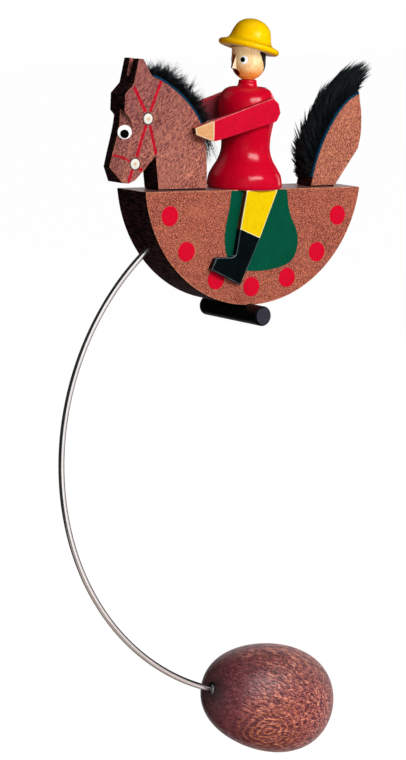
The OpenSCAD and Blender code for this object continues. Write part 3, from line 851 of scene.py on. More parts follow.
# loose-pupil eyes
mat_dome = eye_dome_material()
mat_pupil = paint("pupil_black_plastic", srgb(6, 6, 8), rough=0.2, vary=0.2, grain=0.002)
mat_backing = paint("eye_white_plastic", srgb(254, 254, 255), rough=0.25, vary=0.02, grain=0.002)


def refine_plain(node, name, mats, width, body):
    return refined(node, name, mats, width, body=body, segments=3, angle=40)


for side in ("left", "right"):
    refine_plain(side + "_eye_back", side + "_eye_disc", [mat_backing], 0.08, "toy")
    refine_plain(side + "_pupil", side + "_pupil_disc", [mat_pupil], 0.08, side + "_pupil")
    frame["nodes"][side + "_eye_dome"].data.materials.clear()
    frame["nodes"][side + "_eye_dome"].data.materials.append(mat_dome)
    frame["nodes"][side + "_eye_dome"].data.shade_smooth()
    frame["nodes"][side + "_eye_dome"].data.set_sharp_from_angle(angle=math.radians(30))

# ---------------------------------------------------------------------------
# tail board and leather strips
tail = refined("tail_block", "tail_board", [mat_tail, mat_sawn_stain_and_shade, mat_worn_and_highlight, mat_foot_shade], 0.30,
               face_mat=head_face, bevel_mat=board_edge, foot=3)
mat_leather = leather_material()
refined("mane_leather", "mane_leather_strip", [mat_leather], 0.2, angle=40)
refined("tail_leather", "tail_leather_strip", [mat_leather], 0.2, angle=40)

# ---------------------------------------------------------------------------
# rider
TORSO = [(18.5, 0), (19, 1.2), (18.9, 3.2), (18.2, 6.6), (16.2, 10.4), (14.2, 13.7), (12.9, 17.2), (12.4, 20.8), (12.6, 24.8),
         (13.3, 29.4), (14.1, 34.2), (14.6, 39), (14.4, 43.2), (13.4, 46.6), (11.6, 49), (9, 50.3), (5.6, 50.7)]


def make_torso():
    bm = bmesh.new()
    body = [tuple(p) for p in curve_points(TORSO, 6)]
    foot = [(0, 0.0), (17.6, 0.0), (18.2, 0.02)]
    collar = [(5.34, 50.84), (5.16, 51.1), (5.02, 51.4), (4.92, 51.7), (4.84, 52.0), (4.78, 52.35), (4.73, 52.75), (4.7, 53.2), (4.66, 53.6), (4.5, 53.86), (4.2, 53.98), (3.6, 54.0), (0, 54.0)]
    lathe(bm, foot + body + collar, 128, Matrix.Translation((RIDER_X, 0, TOP)), LEVEL)
    add_object("rider_body_turned", bm, [mat_torso], "toy", ("rider_torso",), smooth=50)


make_torso()


def make_head():
    bm = bmesh.new()
    t0 = math.acos((HEAD_R - 0.35) / HEAD_R)
    prof = [(0, -HEAD_R + 0.35), (HEAD_R * math.sin(t0) * 0.7, -HEAD_R + 0.35)]
    for t in np.linspace(math.pi - t0, math.pi / 2, 44):
        prof.append((HEAD_R * math.sin(t), HEAD_R * math.cos(t)))
    for z in np.linspace(0.4, HEAD_UP - 0.3, 18):
        prof.append((HEAD_R, z))
    prof += [(HEAD_R - 0.08, HEAD_UP - 0.1), (HEAD_R - 0.3, HEAD_UP), (HEAD_R * 0.5, HEAD_UP), (0, HEAD_UP)]
    lathe(bm, prof, 112, Matrix.Translation((RIDER_X, 0, HEAD_Z)), LEVEL)
    add_object("rider_head_ball", bm, [mat_face], "toy", ("rider_head",), smooth=50)


make_head()


def ball(az, el, lift):
    """Point over the rider's head: az from the way the rider looks (-X) towards the rider's left (-Y), el up, in degrees."""
    a, e = math.radians(az), math.radians(el)
    r = HEAD_R + lift
    if el > 0:
        return LEVEL @ Vector((RIDER_X - r * math.cos(a), -r * math.sin(a), HEAD_Z + HEAD_R * e))
    return LEVEL @ Vector((RIDER_X - r * math.cos(e) * math.cos(a), -r * math.cos(e) * math.sin(a), HEAD_Z + r * math.sin(e)))


def cap(bm, az, el, ru, rv, lift, thick, n=40, rings=6, power=2.0):
    """A painted spot of half-widths ru, rv in degrees."""
    prev = None
    for j in range(rings + 2):
        f = min(j / rings, 1.0)
        h = lift + thick * (1 - f ** 6) if j <= rings else -0.02
        if j == 0:
            row = [bm.verts.new(ball(az, el, lift + thick))]
        else:
            row = []
            for k in range(n):
                t = 2 * math.pi * k / n
                cx = math.copysign(abs(math.cos(t)) ** (2 / power), math.cos(t))
                cy = math.copysign(abs(math.sin(t)) ** (2 / power), math.sin(t))
                e = el + rv * f * cy
                a = az + ru * f * cx / math.cos(math.radians(min(el, 0)))
                row.append(bm.verts.new(ball(a, e, h)))
        if prev:
            for k in range(n):
                k2 = (k + 1) % n
                if len(prev) == 1:
                    bm.faces.new((prev[0], row[k], row[k2]))
                else:
                    bm.faces.new((prev[k], row[k], row[k2], prev[k2]))
        prev = row


def make_face_paint():
    z_eye = math.degrees((126.6 - HEAD_Z) / HEAD_R)
    bm = bmesh.new()
    for s in (-1, 1):
        cap(bm, s * 39.4, z_eye, 13.2, 14.6, 0.0, 0.06)
    add_object("rider_eye_whites", bm, [mat_eyewhite], smooth=60)
    bm = bmesh.new()
    for s in (-1, 1):
        cap(bm, s * 34.8, z_eye + 0.4, 8.2, 8.6, 0.05, 0.07)
    add_object("rider_eye_pupils", bm, [mat_eyeblack], smooth=60)
    bm = bmesh.new()
    # dark patch low on the face: partly painted mouth, partly painted shadow under the nose
    cap(bm, 0, -33, 14.5, 13, 0.0, 0.06, power=2.3)
    add_object("rider_mouth_and_shadow_paint", bm, [mat_mouth_and_shadow], smooth=60)
    # painted hair on the back of the head, down to the nape
    bm = bmesh.new()
    nu, nv = 84, 26
    deg = 180 / (math.pi * HEAD_R)
    grid = []
    for i in range(nu + 1):
        u = i / nu
        row = []
        for j in range(nv + 1):
            v = j / nv
            z = 7.2 - (11.6 - 1.2 * math.sin(math.pi * u)) * v
            a0 = 114.5 - 3.4 * z + 0.8 * math.sin(2.3 * z)
            a = a0 + (360 - 2 * a0) * u
            edge = i in (0, nu) or j == nv
            row.append(bm.verts.new(ball(a, z * deg, -0.02 if edge else 0.07)))
        grid.append(row)
    for i in range(nu):
        for j in range(nv):
            bm.faces.new((grid[i][j], grid[i + 1][j], grid[i + 1][j + 1], grid[i][j + 1]))
    add_object("rider_hair_paint", bm, [mat_hairpaint], smooth=60)


make_face_paint()
# Orange-brown on the nose's forward faces: partly end-grain stain, partly painted shade.
mat_nose_front_and_shade = bare_wood("nose_front_and_shade_wood", srgb(120, 52, 26), srgb(160, 76, 40), srgb(196, 108, 62), rough=0.5)
nose = refined("rider_nose", "rider_nose_wedge", [mat_hand_edge_and_highlight, mat_nose_front_and_shade], 0.18,
               face_mat=lambda f: 1 if side_normal(f).x < -0.5 else 0, bevel_mat=lambda f: 1 if side_normal(f).x < -0.6 else 0, angle=30)
for v in nose.data.vertices:
    q = LEVEL_INV @ v.co
    out = min(max((RIDER_X - q.x - HEAD_R + 0.2) / 2.0, 0.0), 1.0)
    v.co = LEVEL @ Vector((q.x + 0.25 * out, q.y * (1 - 0.55 * out), q.z))


def make_hat():
    bm = bmesh.new()
    outer = curve_points([(15.5, 1.6), (15.25, 2.3), (14.6, 2.85), (13.8, 3.15), (12.9, 3.4), (12.0, 3.8), (11.2, 4.5), (10.6, 5.6), (10.15, 7.0), (9.5, 9.4), (8.1, 12.3), (5.4, 14.6), (2.0, 15.7), (0, 15.9)], 7)
    rim = curve_points([(13.6, 0.0), (14.6, 0.25), (15.25, 0.85), (15.5, 1.6)], 5)[:-1]
    under = curve_points([(8.62, 0.35), (9.0, 0.12), (10.4, 0.04), (12.0, 0.0), (13.6, 0.0)], 5)[:-1]
    inside = [(0, 1.9), (8.62, 1.9)]
    prof = inside + [tuple(p) for p in under] + [tuple(p) for p in rim] + [tuple(p) for p in outer]
    ni = len(inside) + len(under) - 2
    P = Matrix.Translation((RIDER_X - 0.5, 0, HEAD_Z + 6.6)) @ Matrix.Rotation(math.radians(14), 4, "Y")
    lathe(bm, prof, 128, P, LEVEL, lambda i: 1 if i <= ni else 0)
    add_object("rider_hat_turned", bm, [mat_hat, mat_cream], "toy", ("rider_hat",), smooth=50)


make_hat()

# arms: sleeve and bare hand in one board
for s, side in ((1, "left"), (-1, "right")):
    arm_dir = (Matrix.Rotation(math.radians(-10 * s), 3, "Z") @ Vector((1, 0, 0)))
    lean3 = Matrix.Rotation(LEAN, 3, "Y")
    up3 = Vector((0, 0, 1))
    swing = 0.0 if side == "left" else math.radians(4.8)
    rise = 0.0 if side == "left" else 3.0

    def arm_point(x, z, s=s, arm_dir=arm_dir, swing=swing, rise=rise):
        dx, dz = x - 46.0, z - 101.8
        x2 = 46.0 + dx * math.cos(swing) + dz * math.sin(swing)
        z2 = 101.8 - dx * math.sin(swing) + dz * math.cos(swing) + rise
        return LEVEL @ (Vector((-37, -6.6 * s, 0)) + arm_dir * x2 + up3 * z2)

    cut_no = (lean3 @ (arm_dir * math.cos(swing) - up3 * math.sin(swing) + up3 * 0.02)).normalized()
    cut_a = arm_point(12.75, 91.0)
    inner_y = 1 if side == "left" else -1

    def arm_face(f, a=cut_a, no=cut_no, iy=inner_y):
        n = side_normal(f)
        flat = abs(n.y) > 0.9
        if (f.calc_center_median() - a).dot(no) < 0:
            # hand: forward-facing ends take the painted shade, other edges the redder side wood
            return 2 if flat else (7 if n.x < -0.6 else 4)
        # flat sleeve faces towards the torso take the painted shade
        if flat and n.y * iy > 0:
            return 5
        return 0 if flat else 1

    def arm_bevel(f, a=cut_a, no=cut_no, iy=inner_y):
        n = side_normal(f)
        if (f.calc_center_median() - a).dot(no) < 0:
            # outward hand bevels and the hand's inset frame take the pale wood, partly painted highlight
            return 3 if n.y * iy < -0.3 else (7 if n.x < -0.6 else 4)
        # upper outward bevels of the sleeve take the painted highlight
        return 6 if n.z > 0.15 and n.y * iy < -0.5 else 1

    refined(side + "_arm", side + "_arm_board",
            [mat_sleeve, mat_sleeve_edge, mat_hand, mat_hand_edge_and_highlight, mat_hand_side_and_shade, mat_sleeve_inner_shade, mat_sleeve_highlight, mat_hand_end_shade], 0.30,
            cuts=[(cut_a, cut_no)], face_mat=arm_face, bevel_mat=arm_bevel,
            frames=[(lambda f: f.material_index == 2, 0.50, 3)])

# legs: trouser and boot in one board
for side in ("left", "right"):
    lean3 = Matrix.Rotation(LEAN, 3, "Y")
    a, b = Vector((-9.8, 0, 43.0)), Vector((2.0, 0, 38.4))
    co = LEVEL @ a
    d = (b - a).normalized()
    no = (lean3 @ Vector((-d.z, 0, d.x))).normalized()

    def leg_face(f, co=co, no=no):
        up = (f.calc_center_median() - co).dot(no) > 0
        flat = abs(side_normal(f).y) > 0.9
        if up:
            # trouser side faces take the dark brown, partly edge colour and partly painted shade
            return 0 if flat else 2
        return 3

    def leg_bevel(f, co=co, no=no):
        # boot bevels take the grey painted glints
        return 1 if (f.calc_center_median() - co).dot(no) > 0 else 4

    refined(side + "_leg", side + "_leg_board", [mat_yellow_leg, mat_yellow_edge, mat_leg_side_and_shade, mat_boot, mat_boot_edge_glint], 0.35,
            cuts=[(co, no)], face_mat=leg_face, bevel_mat=leg_bevel,
            frames=[(lambda f: f.material_index == 0, 0.42, 1)])

# ---------------------------------------------------------------------------
# wire and egg
BEND_R, BEND_C = 132.4, (31.1, -68.6)
A_TOP, A_LOW = math.radians(130.8), math.radians(252.0)


def wire_path():
    pts = []
    p = np.array([BEND_C[0] + BEND_R * math.cos(A_TOP), BEND_C[1] + BEND_R * math.sin(A_TOP)])
    d = np.array([math.sin(A_TOP), -math.cos(A_TOP)])
    for k in np.linspace(19.5, 0.6, 16):
        pts.append(p + d * k)
    for a in np.linspace(A_TOP, A_LOW, 260):
        pts.append(np.array([BEND_C[0] + BEND_R * math.cos(a), BEND_C[1] + BEND_R * math.sin(a)]))
    p = pts[-1]
    d = np.array([-math.sin(A_LOW), math.cos(A_LOW)])
    for k in np.linspace(0.6, 19.5, 16):
        pts.append(p + d * k)
    return np.array(pts)


def make_wire():
    path = wire_path()
    bm = bmesh.new()
    uvl = bm.loops.layers.uv.new("UVMap")
    n = 28
    rings, run = [], [0.0]
    for i in range(len(path)):
        t = path[min(i + 1, len(path) - 1)] - path[max(i - 1, 0)]
        t /= np.linalg.norm(t)
        nx = np.array([-t[1], t[0]])
        if i:
            run.append(run[-1] + np.linalg.norm(path[i] - path[i - 1]))
        ring = []
        for k in range(n):
            a = 2 * math.pi * k / n
            q = path[i] + nx * (1.5 * math.cos(a))
            ring.append(bm.verts.new(LEVEL @ Vector((q[0], 1.5 * math.sin(a), q[1]))))
        rings.append(ring)
    for i in range(len(rings) - 1):
        for k in range(n):
            k2 = (k + 1) % n
            f = bm.faces.new((rings[i][k], rings[i][k2], rings[i + 1][k2], rings[i + 1][k]))
            for lp, (uu, vv) in zip(f.loops, ((run[i], k), (run[i], k + 1), (run[i + 1], k + 1), (run[i + 1], k))):
                lp[uvl].uv = (uu * 0.02, vv / n)
    bm.faces.new(rings[0][::-1])
    bm.faces.new(rings[-1])
    add_object("balance_wire_drawn", bm, [steel_material()], "toy", ("balance_wire",), smooth=50)


make_wire()

EGG_A, EGG_B, EGG_K, EGG_TILT = 35.3, 27.8, 0.115, math.radians(14.2)
EGG_X, EGG_Z = 27.45, -203.3
EGG_C = (Matrix.Rotation(LEAN, 3, "Y") @ Vector((EGG_X, 0, EGG_Z)))
# centre of the egg's painted shadow near the wire's entry, set off towards the upper right
EGG_HOLE_SHADOW = tuple(Matrix.Rotation(LEAN, 3, "Y") @ Vector((-4.5, -3.0, -196.0)))
EGG_P = Matrix.Translation((EGG_X, 0, EGG_Z)) @ Matrix.Rotation(math.radians(90) + EGG_TILT, 4, "Y")


def make_egg():
    bm = bmesh.new()
    prof = []
    for i in range(97):
        t = math.pi * i / 96
        c = -math.cos(t)
        prof.append((0.0 if i in (0, 96) else EGG_B * math.sin(t) ** 0.7 * (1 + EGG_K * c), EGG_A * c))
    lathe(bm, prof, 144, EGG_P, LEVEL)
    add_object("counterweight_egg_turned", bm, [egg_material()], "toy", ("counterweight_egg",), smooth=60)


make_egg()


def entry_rings():
    """Drilled mouths with a little set glue where the wire goes into the rocker and the egg; the mouths are near black,
    painted shade in the holes.
    """
    glue, hole_shade = glue_material(), painted_shade_material()
    path = wire_path()

    def place(p, d, r_hole, name, bits, bead=None):
        z = Vector((d[0], 0, d[1]))
        x = Vector((0, 1, 0))
        y = z.cross(x)
        F = Matrix(((x.x, y.x, z.x, p[0]), (x.y, y.y, z.y, 0), (x.z, y.z, z.z, p[1]), (0, 0, 0, 1)))
        bm = bmesh.new()
        lathe(bm, [(1.5, 0.5), (r_hole * 0.9, 0.16), (r_hole, 0.08), (r_hole + 0.35, 0.10), (r_hole + 0.5, -0.15)], 40, F, LEVEL)
        add_object(name + "_mouth", bm, [hole_shade], smooth=60)
        bm = bmesh.new()
        for ang, ln, wd in bits:
            a = math.radians(ang)
            c, s_ = math.cos(a), math.sin(a)
            prev = None
            for j in range(7):
                f = j / 6
                rr = 1.55 + ln * f
                w = wd * (1 - f) ** 0.7 * (0.6 + 0.4 * math.sin(f * 3.1)) + 0.03
                row = []
                for k in range(6):
                    b = 2 * math.pi * k / 6
                    px = c * rr - s_ * w * math.cos(b)
                    py = s_ * rr + c * w * math.cos(b)
                    row.append(bm.verts.new(LEVEL @ (F @ Vector((px, py, 0.14 + 0.55 * w * math.sin(b) + 0.25 * (1 - f))))))
                if prev:
                    for k in range(6):
                        k2 = (k + 1) % 6
                        bm.faces.new((prev[k], prev[k2], row[k2], row[k]))
                else:
                    bm.faces.new(row[::-1])
                prev = row
            bm.faces.new(prev)
        if bead:
            # a bead of set glue part of the way round the wire
            r_b, w_b, a0, a1 = bead
            prev = None
            for j in range(25):
                f = j / 24
                a = math.radians(a0 + (a1 - a0) * f)
                w = w_b * max(math.sin(math.pi * f), 0.06) ** 0.6
                row = []
                for k in range(10):
                    b = 2 * math.pi * k / 10
                    rr = r_b + w * math.cos(b)
                    row.append(bm.verts.new(LEVEL @ (F @ Vector((rr * math.cos(a), rr * math.sin(a), 0.22 + w * 0.9 * math.sin(b))))))
                if prev:
                    for k in range(10):
                        k2 = (k + 1) % 10
                        bm.faces.new((prev[k], prev[k2], row[k2], row[k]))
                else:
                    bm.faces.new(row[::-1])
                prev = row
            bm.faces.new(prev)
        add_object(name + "_glue", bm, [glue], smooth=70)

    # rocker: where the wire meets the round edge
    for i in range(len(path) - 1, 0, -1):
        if math.hypot(path[i][0] - ROCKER_X, path[i][1] - ROCKER_Z) <= 66.0:
            p = path[i]
            break
    d = np.array([p[0] - ROCKER_X, p[1] - ROCKER_Z])
    d /= np.linalg.norm(d)
    place(p, d, 2.0, "rocker_wire", [(20, 2.2, 0.28), (75, 1.2, 0.22), (140, 1.9, 0.26), (200, 0.9, 0.3), (262, 1.8, 0.24), (320, 1.3, 0.26)])
    # egg: where the wire meets its end
    inv = (Matrix.Rotation(math.radians(90) + EGG_TILT, 4, "Y")).inverted()
    for i in range(len(path)):
        q = inv @ Vector((path[i][0] - EGG_X, 0, path[i][1] - EGG_Z))
        c = q.z / EGG_A
        if abs(c) < 1:
            r = EGG_B * math.sqrt(1 - c * c) ** 0.7 * (1 + EGG_K * c)
            if math.hypot(q.x, q.y) < r:
                p = path[i]
                break
    e = 0.02
    rr = lambda t: EGG_B * math.sin(t) ** 0.7 * (1 + EGG_K * -math.cos(t))
    t = math.acos(max(-1, min(1, -c)))
    dr, dz = rr(t + e) - rr(t - e), EGG_A * (math.cos(t - e) - math.cos(t + e))
    sg = 1 if q.x >= 0 else -1
    nl = Vector((sg * dz, 0, -dr)).normalized()
    nw = (Matrix.Rotation(math.radians(90) + EGG_TILT, 4, "Y").to_3x3() @ nl).normalized()
    place(p, np.array([nw.x, nw.z]), 3.1, "egg_wire", [(200, 1.0, 0.30), (236, 0.8, 0.26), (120, 0.6, 0.2)], bead=(2.15, 0.55, 95, 275))


entry_rings()

# ---------------------------------------------------------------------------
# hair
CREST = curve_points([(-57.8, 118.3), (-52.7, 116.3), (-47, 113), (-41, 108.8), (-35.9, 104.2), (-31.4, 99), (-28.4, 93.6), (-26.2, 87.2), (-25, 80.6), (-24.4, 73.2)], 12)[:81]
TAIL = curve_points([(41.3, 67.2), (42.3, 71.6), (43.6, 75.8), (45.6, 81.2), (48.8, 88.2), (52.8, 94.9), (57.9, 101.6), (63.2, 106.4), (69.0, 109.6)], 12)


def at(curve, f):
    x = f * (len(curve) - 1)
    i = int(min(max(math.floor(x), 0), len(curve) - 2))
    p = curve[i] + (curve[i + 1] - curve[i]) * (x - i)
    d = curve[min(i + 2, len(curve) - 1)] - curve[max(i - 1, 0)]
    d = d / np.linalg.norm(d)
    return p, d, np.array([-d[1], d[0]])


def strands(name, roots, mat, node, sides=3, segs=5):
    """roots: list of (points along the strand in level mm, base radius, shade)."""
    verts, faces, along, shade = [], [], [], []
    ca = [(math.cos(2 * math.pi * k / sides), math.sin(2 * math.pi * k / sides)) for k in range(sides)]
    for pts, r0, sh in roots:
        pts = np.asarray(pts)
        x = np.linspace(0, len(pts) - 1, segs)
        pts = np.stack([np.interp(x, np.arange(len(pts)), pts[:, k]) for k in range(3)], 1)
        n = len(pts)
        base = len(verts)
        t0 = pts[1] - pts[0]
        t0 /= np.linalg.norm(t0)
        ref = np.array([0, 1.0, 0]) if abs(t0[1]) < 0.8 else np.array([1.0, 0, 0])
        u = np.cross(t0, ref)
        u /= np.linalg.norm(u)
        v = np.cross(t0, u)
        for i in range(n):
            f = i / (n - 1)
            r = r0 * (1 - f) ** 0.55 if i < n - 1 else 0
            if i == n - 1:
                verts.append(pts[i])
                along.append(1.0)
                shade.append(sh)
            else:
                for c, s in ca:
                    verts.append(pts[i] + u * (r * c) + v * (r * s))
                    along.append(f)
                    shade.append(sh)
        for i in range(n - 2):
            for k in range(sides):
                k2 = (k + 1) % sides
                faces.append((base + i * sides + k, base + i * sides + k2, base + (i + 1) * sides + k2, base + (i + 1) * sides + k))
        tip = base + (n - 1) * sides
        for k in range(sides):
            k2 = (k + 1) % sides
            faces.append((base + (n - 2) * sides + k, base + (n - 2) * sides + k2, tip))
    V = np.array(verts)
    L = np.array(LEVEL)
    V = V @ L[:3, :3].T + L[:3, 3]
    me = bpy.data.meshes.new(name)
    me.from_pydata(V.tolist(), [], faces)
    for key, val in (("along", along), ("shade", shade)):
        at_ = me.attributes.new(key, "FLOAT", "POINT")
        at_.data.foreach_set("value", np.array(val, np.float32))
    me.materials.append(mat)
    me.shade_smooth()
    me.update()
    o = bpy.data.objects.new(name, me)
    bpy.context.scene.collection.objects.link(o)
    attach(o, "toy")
    if node:
        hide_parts(node)
    return o


mat_fur = fur_material("black_fur", (0.0015, 0.003, 0.0035), (0.004, 0.008, 0.010), (0.028, 0.040, 0.048))


def spread(rng, n, y0, y1):
    """n points over a strip's length and width, kept apart from each other."""
    pts = []
    while len(pts) < n:
        best, far = None, -1
        for _ in range(8):
            q = np.array([rng.uniform(0, 1), rng.uniform(y0, y1)])
            dist = min((((q - o) * np.array([58.0, 1.0])) ** 2).sum() for o in pts) if pts else 1
            if dist > far:
                best, far = q, dist
        pts.append(best)
    return pts


def make_mane():
    rng = np.random.default_rng(11)
    roots = []
    for f, y in spread(rng, 360, -5.7, 5.7):
        p, d, n = at(CREST, f)
        full = 9.4 * (0.45 + 0.55 * math.sin(min(f * 7.0, math.pi / 2))) * (1 - 0.18 * f * f)
        length = full * (rng.uniform(0.40, 0.85) if rng.random() < 0.70 else rng.uniform(0.85, 1.28))
        lean_d, lean_y = 0.18 + rng.normal(0, 0.48), rng.normal(0, 0.34) + 0.03 * y
        curl = rng.normal(0, 0.42, 3)
        dirv = np.array([n[0] + lean_d * d[0], lean_y, n[1] + lean_d * d[1]])
        dirv /= np.linalg.norm(dirv)
        pos = np.array([p[0] + n[0] * 1.5, y, p[1] + n[1] * 1.5])
        spine = [pos.copy()]
        for i in range(6):
            dirv = dirv + curl * (0.25 + 0.10 * i) + np.array([d[0] * 0.05, 0, d[1] * 0.05 - 0.02])
            dirv /= np.linalg.norm(dirv)
            pos = pos + dirv * length / 6
            spine.append(pos.copy())
        spine = np.array(spine)
        for _ in range(18):
            off = rng.normal(0, 0.6, 3) * np.array([1.0, 0.6, 1.0])
            fray = rng.normal(0, 0.75, 3)
            wave, ph = rng.normal(0, 0.22, 3), rng.uniform(0, 6.28)
            cutoff = rng.uniform(0.55, 1.0) if rng.random() < 0.75 else rng.uniform(1.0, 1.25)
            pts = []
            for i in range(7):
                u = i / 6 * cutoff
                x = min(u, 1.0) * 6
                k = min(int(x), 5)
                q = spine[k] + (spine[k + 1] - spine[k]) * (x - k)
                if u > 1:
                    q = q + (spine[6] - spine[5]) * (u - 1) * 6
                q = q + off * max(1 - 0.6 * u, 0.2) + fray * u * u + wave * math.sin(5.0 * u + ph) * u
                pts.append(q)
            roots.append((pts, rng.uniform(0.075, 0.125), rng.uniform(0, 1)))
    # loose fuzz round the top
    for _ in range(1000):
        f = rng.uniform(0, 0.95) ** 1.15
        p, d, n = at(CREST, f)
        y = rng.uniform(-6.0, 6.0)
        ln = 9.6 * (0.60 + 0.40 * math.sin(min(f * 7.0, math.pi / 2))) * rng.uniform(0.7, 1.32)
        dirv = np.array([n[0] + rng.normal(0.1, 0.55) * d[0], rng.normal(0, 0.4), n[1] + rng.normal(0.1, 0.55) * d[1]])
        dirv /= np.linalg.norm(dirv)
        curl = rng.normal(0, 0.5, 3)
        pos = np.array([p[0] + n[0] * 1.5, y, p[1] + n[1] * 1.5])
        pts = [pos.copy()]
        for i in range(6):
            dirv = dirv + curl * (0.10 + 0.14 * i)
            dirv /= np.linalg.norm(dirv)
            pos = pos + dirv * ln / 6
            pts.append(pos.copy())
        roots.append((pts, rng.uniform(0.05, 0.085), rng.uniform(-1.0, 0.1) if f < 0.45 else rng.uniform(-0.5, 0.5)))
    # thin wisps hanging over the back of the neck
    for _ in range(170):
        f = rng.uniform(0.90, 1.0)
        p, d, n = at(CREST, f)
        p0 = np.array([p[0] + n[0] * 1.4, rng.uniform(-6, 5), p[1] + n[1] * 1.4])
        aim = np.array([0.34 + rng.normal(0, 0.16), rng.normal(0, 0.2), -0.88 + rng.normal(0, 0.15)])
        aim /= np.linalg.norm(aim)
        ln = rng.uniform(6.0, 22.0)
        bow = np.array([rng.uniform(0.5, 3.0), rng.normal(0, 0.8), rng.uniform(0.5, 2.5)])
        pts = [p0 + aim * (ln * u) + bow * (u * (1 - u)) for u in np.linspace(0, 1, 7)]
        roots.append((pts, rng.uniform(0.09, 0.16), rng.uniform(0.4, 1)))
    strands("mane_hair_strands", roots, mat_fur, "mane_hair")


TAIL_OUT = curve_points([(38.4, 67.4), (36.6, 69.4), (35.8, 73.2), (34.9, 78.0), (34.4, 83.0), (35.0, 88.0), (36.6, 92.4), (39.4, 97.0), (43.2, 101.6), (47.6, 107.2), (53.3, 113.6), (59.0, 118.2), (65.2, 122.4), (70.6, 125.4), (75.4, 126.4), (79.0, 125.2), (76.6, 119.0), (72.6, 112.4)], 8)


def make_tail_hair():
    rng = np.random.default_rng(23)
    roots = []
    tip = [np.array([rng.uniform(0.80, 1.0), rng.uniform(-5.6, 5.6)]) for _ in range(110)]
    for f, y in spread(rng, 370, -5.6, 5.6) + tip:
        p, d, n = at(TAIL, f)
        g = min(max(0.01 + 0.95 * f ** 0.94 + rng.normal(0, 0.022), 0.0), 1.0)
        q, _, _ = at(TAIL_OUT, g)
        share = rng.uniform(0.70, 0.94) if rng.random() < 0.6 else rng.uniform(0.94, 1.02)
        p0 = np.array([p[0] + n[0] * 1.5, y, p[1] + n[1] * 1.5])
        end = np.array([q[0], 0, q[1]])
        p2 = p0 + (end - p0) * share
        p2[1] = y * rng.uniform(0.85, 1.08) + rng.normal(0, 1.0)
        ln = np.linalg.norm(p2 - p0)
        p1 = p0 + np.array([n[0], 0, n[1]]) * (0.36 * ln) + np.array([d[0], 0, d[1]]) * (0.20 * ln) + rng.normal(0, 0.03 * ln, 3)
        for _ in range(17):
            off = rng.normal(0, 0.6, 3) * np.array([1.0, 0.6, 1.0])
            fray = rng.normal(0, 0.10, 3)
            cutoff = rng.uniform(0.55, 0.95) if rng.random() < 0.7 else rng.uniform(0.95, 1.02)
            pts = []
            for i in range(6):
                u = i / 5 * cutoff
                c = (1 - u) ** 2 * p0 + 2 * u * (1 - u) * p1 + u * u * p2
                pts.append(c + off * max(1 - u, 0.0) ** 0.7 + fray * u * u)
            roots.append((pts, rng.uniform(0.15, 0.23), rng.uniform(0, 1)))
    # loose wisps low on the front
    for _ in range(60):
        f = rng.uniform(0.14, 0.44)
        p, d, n = at(TAIL, f)
        y = rng.uniform(-6, 2)
        p0 = np.array([p[0] + n[0] * 4.0, y, p[1] + n[1] * 4.0])
        aim = np.array([-0.86 + rng.normal(0, 0.10), rng.normal(0, 0.15), 0.62 + rng.normal(0, 0.16)])
        aim /= np.linalg.norm(aim)
        ln = rng.uniform(7.0, 11.5)
        sag = np.array([0.3, 0, 1.2]) * rng.uniform(-0.6, 1.0)
        pts = [p0 + aim * (ln * u) + sag * (u * u) for u in np.linspace(0, 1, 6)]
        roots.append((pts, rng.uniform(0.07, 0.11), rng.uniform(0.2, 1)))
    strands("tail_hair_strands", roots, mat_fur, "tail_hair")


make_mane()
make_tail_hair()

# hidden pins and pegs keep their CAD meshes
mat_peg = bare_wood("peg_wood", srgb(190, 146, 92), srgb(216, 176, 120), srgb(232, 200, 150), rot=(0, math.radians(90), 0), rough=0.5)
mat_pin = steel_material()
for n, mm in (("tail_pegs", mat_peg), ("rider_peg", mat_peg), ("rider_neck_peg", mat_peg), ("neck_pins", mat_pin)):
    me = frame["nodes"][n].data
    me.materials.clear()
    me.materials.append(mm)

# ---------------------------------------------------------------------------
# stage and light
def make_stage():
    m = Mat("pale_floor")
    n = m.noise(m.coords(), 0.02, 2.0, 0.5)
    m.set(Base_Color=m.ramp(n, [(0.3, (0.045, 0.045, 0.045)), (0.7, (0.055, 0.055, 0.055))]), Roughness=0.9)
    m.b.inputs["Emission Color"].default_value = (1, 1, 1, 1)
    m.b.inputs["Emission Strength"].default_value = 0.985
    bm = bmesh.new()
    z, nx = -0.34, 48
    sizes = np.linspace(-6, 6, nx)
    grid = [[bm.verts.new((x, y, z)) for y in sizes] for x in sizes]
    for i in range(nx - 1):
        for j in range(nx - 1):
            bm.faces.new((grid[i][j], grid[i + 1][j], grid[i + 1][j + 1], grid[i][j + 1]))
    me = bpy.data.meshes.new("studio_floor")
    bm.to_mesh(me)
    bm.free()
    me.materials.append(m.m)
    o = bpy.data.objects.new("studio_floor", me)
    bpy.context.scene.collection.objects.link(o)
    o.visible_diffuse = False
    o.visible_glossy = False
    o.visible_shadow = False


make_stage()


def area(name, az, el, dist, w, h, power, target=(0, 0, 0.06), diffuse=True, glossy=True, color=(1, 1, 1), only=(), never=()):
    a, e = math.radians(az), math.radians(el)
    d = Vector((math.sin(a) * math.cos(e), -math.cos(a) * math.cos(e), math.sin(e)))
    L = bpy.data.lights.new(name, "AREA")
    L.shape = "RECTANGLE"
    L.size, L.size_y = w, h
    L.energy = power
    L.color = color
    o = bpy.data.objects.new(name, L)
    o.location = Vector(target) + d * dist
    o.rotation_mode = "QUATERNION"
    o.rotation_quaternion = (-d).to_track_quat("-Z", "Y")
    o.visible_camera = False
    o.visible_diffuse = diffuse
    o.visible_glossy = glossy
    bpy.context.scene.collection.objects.link(o)
    if only or never:
        lit = bpy.data.collections.new(name + "_lit")
        for n in only or never:
            lit.objects.link(bpy.data.objects[n])
        for c in lit.collection_objects:
            c.light_linking.link_state = "INCLUDE" if only else "EXCLUDE"
        o.light_linking.receiver_collection = lit
    return o


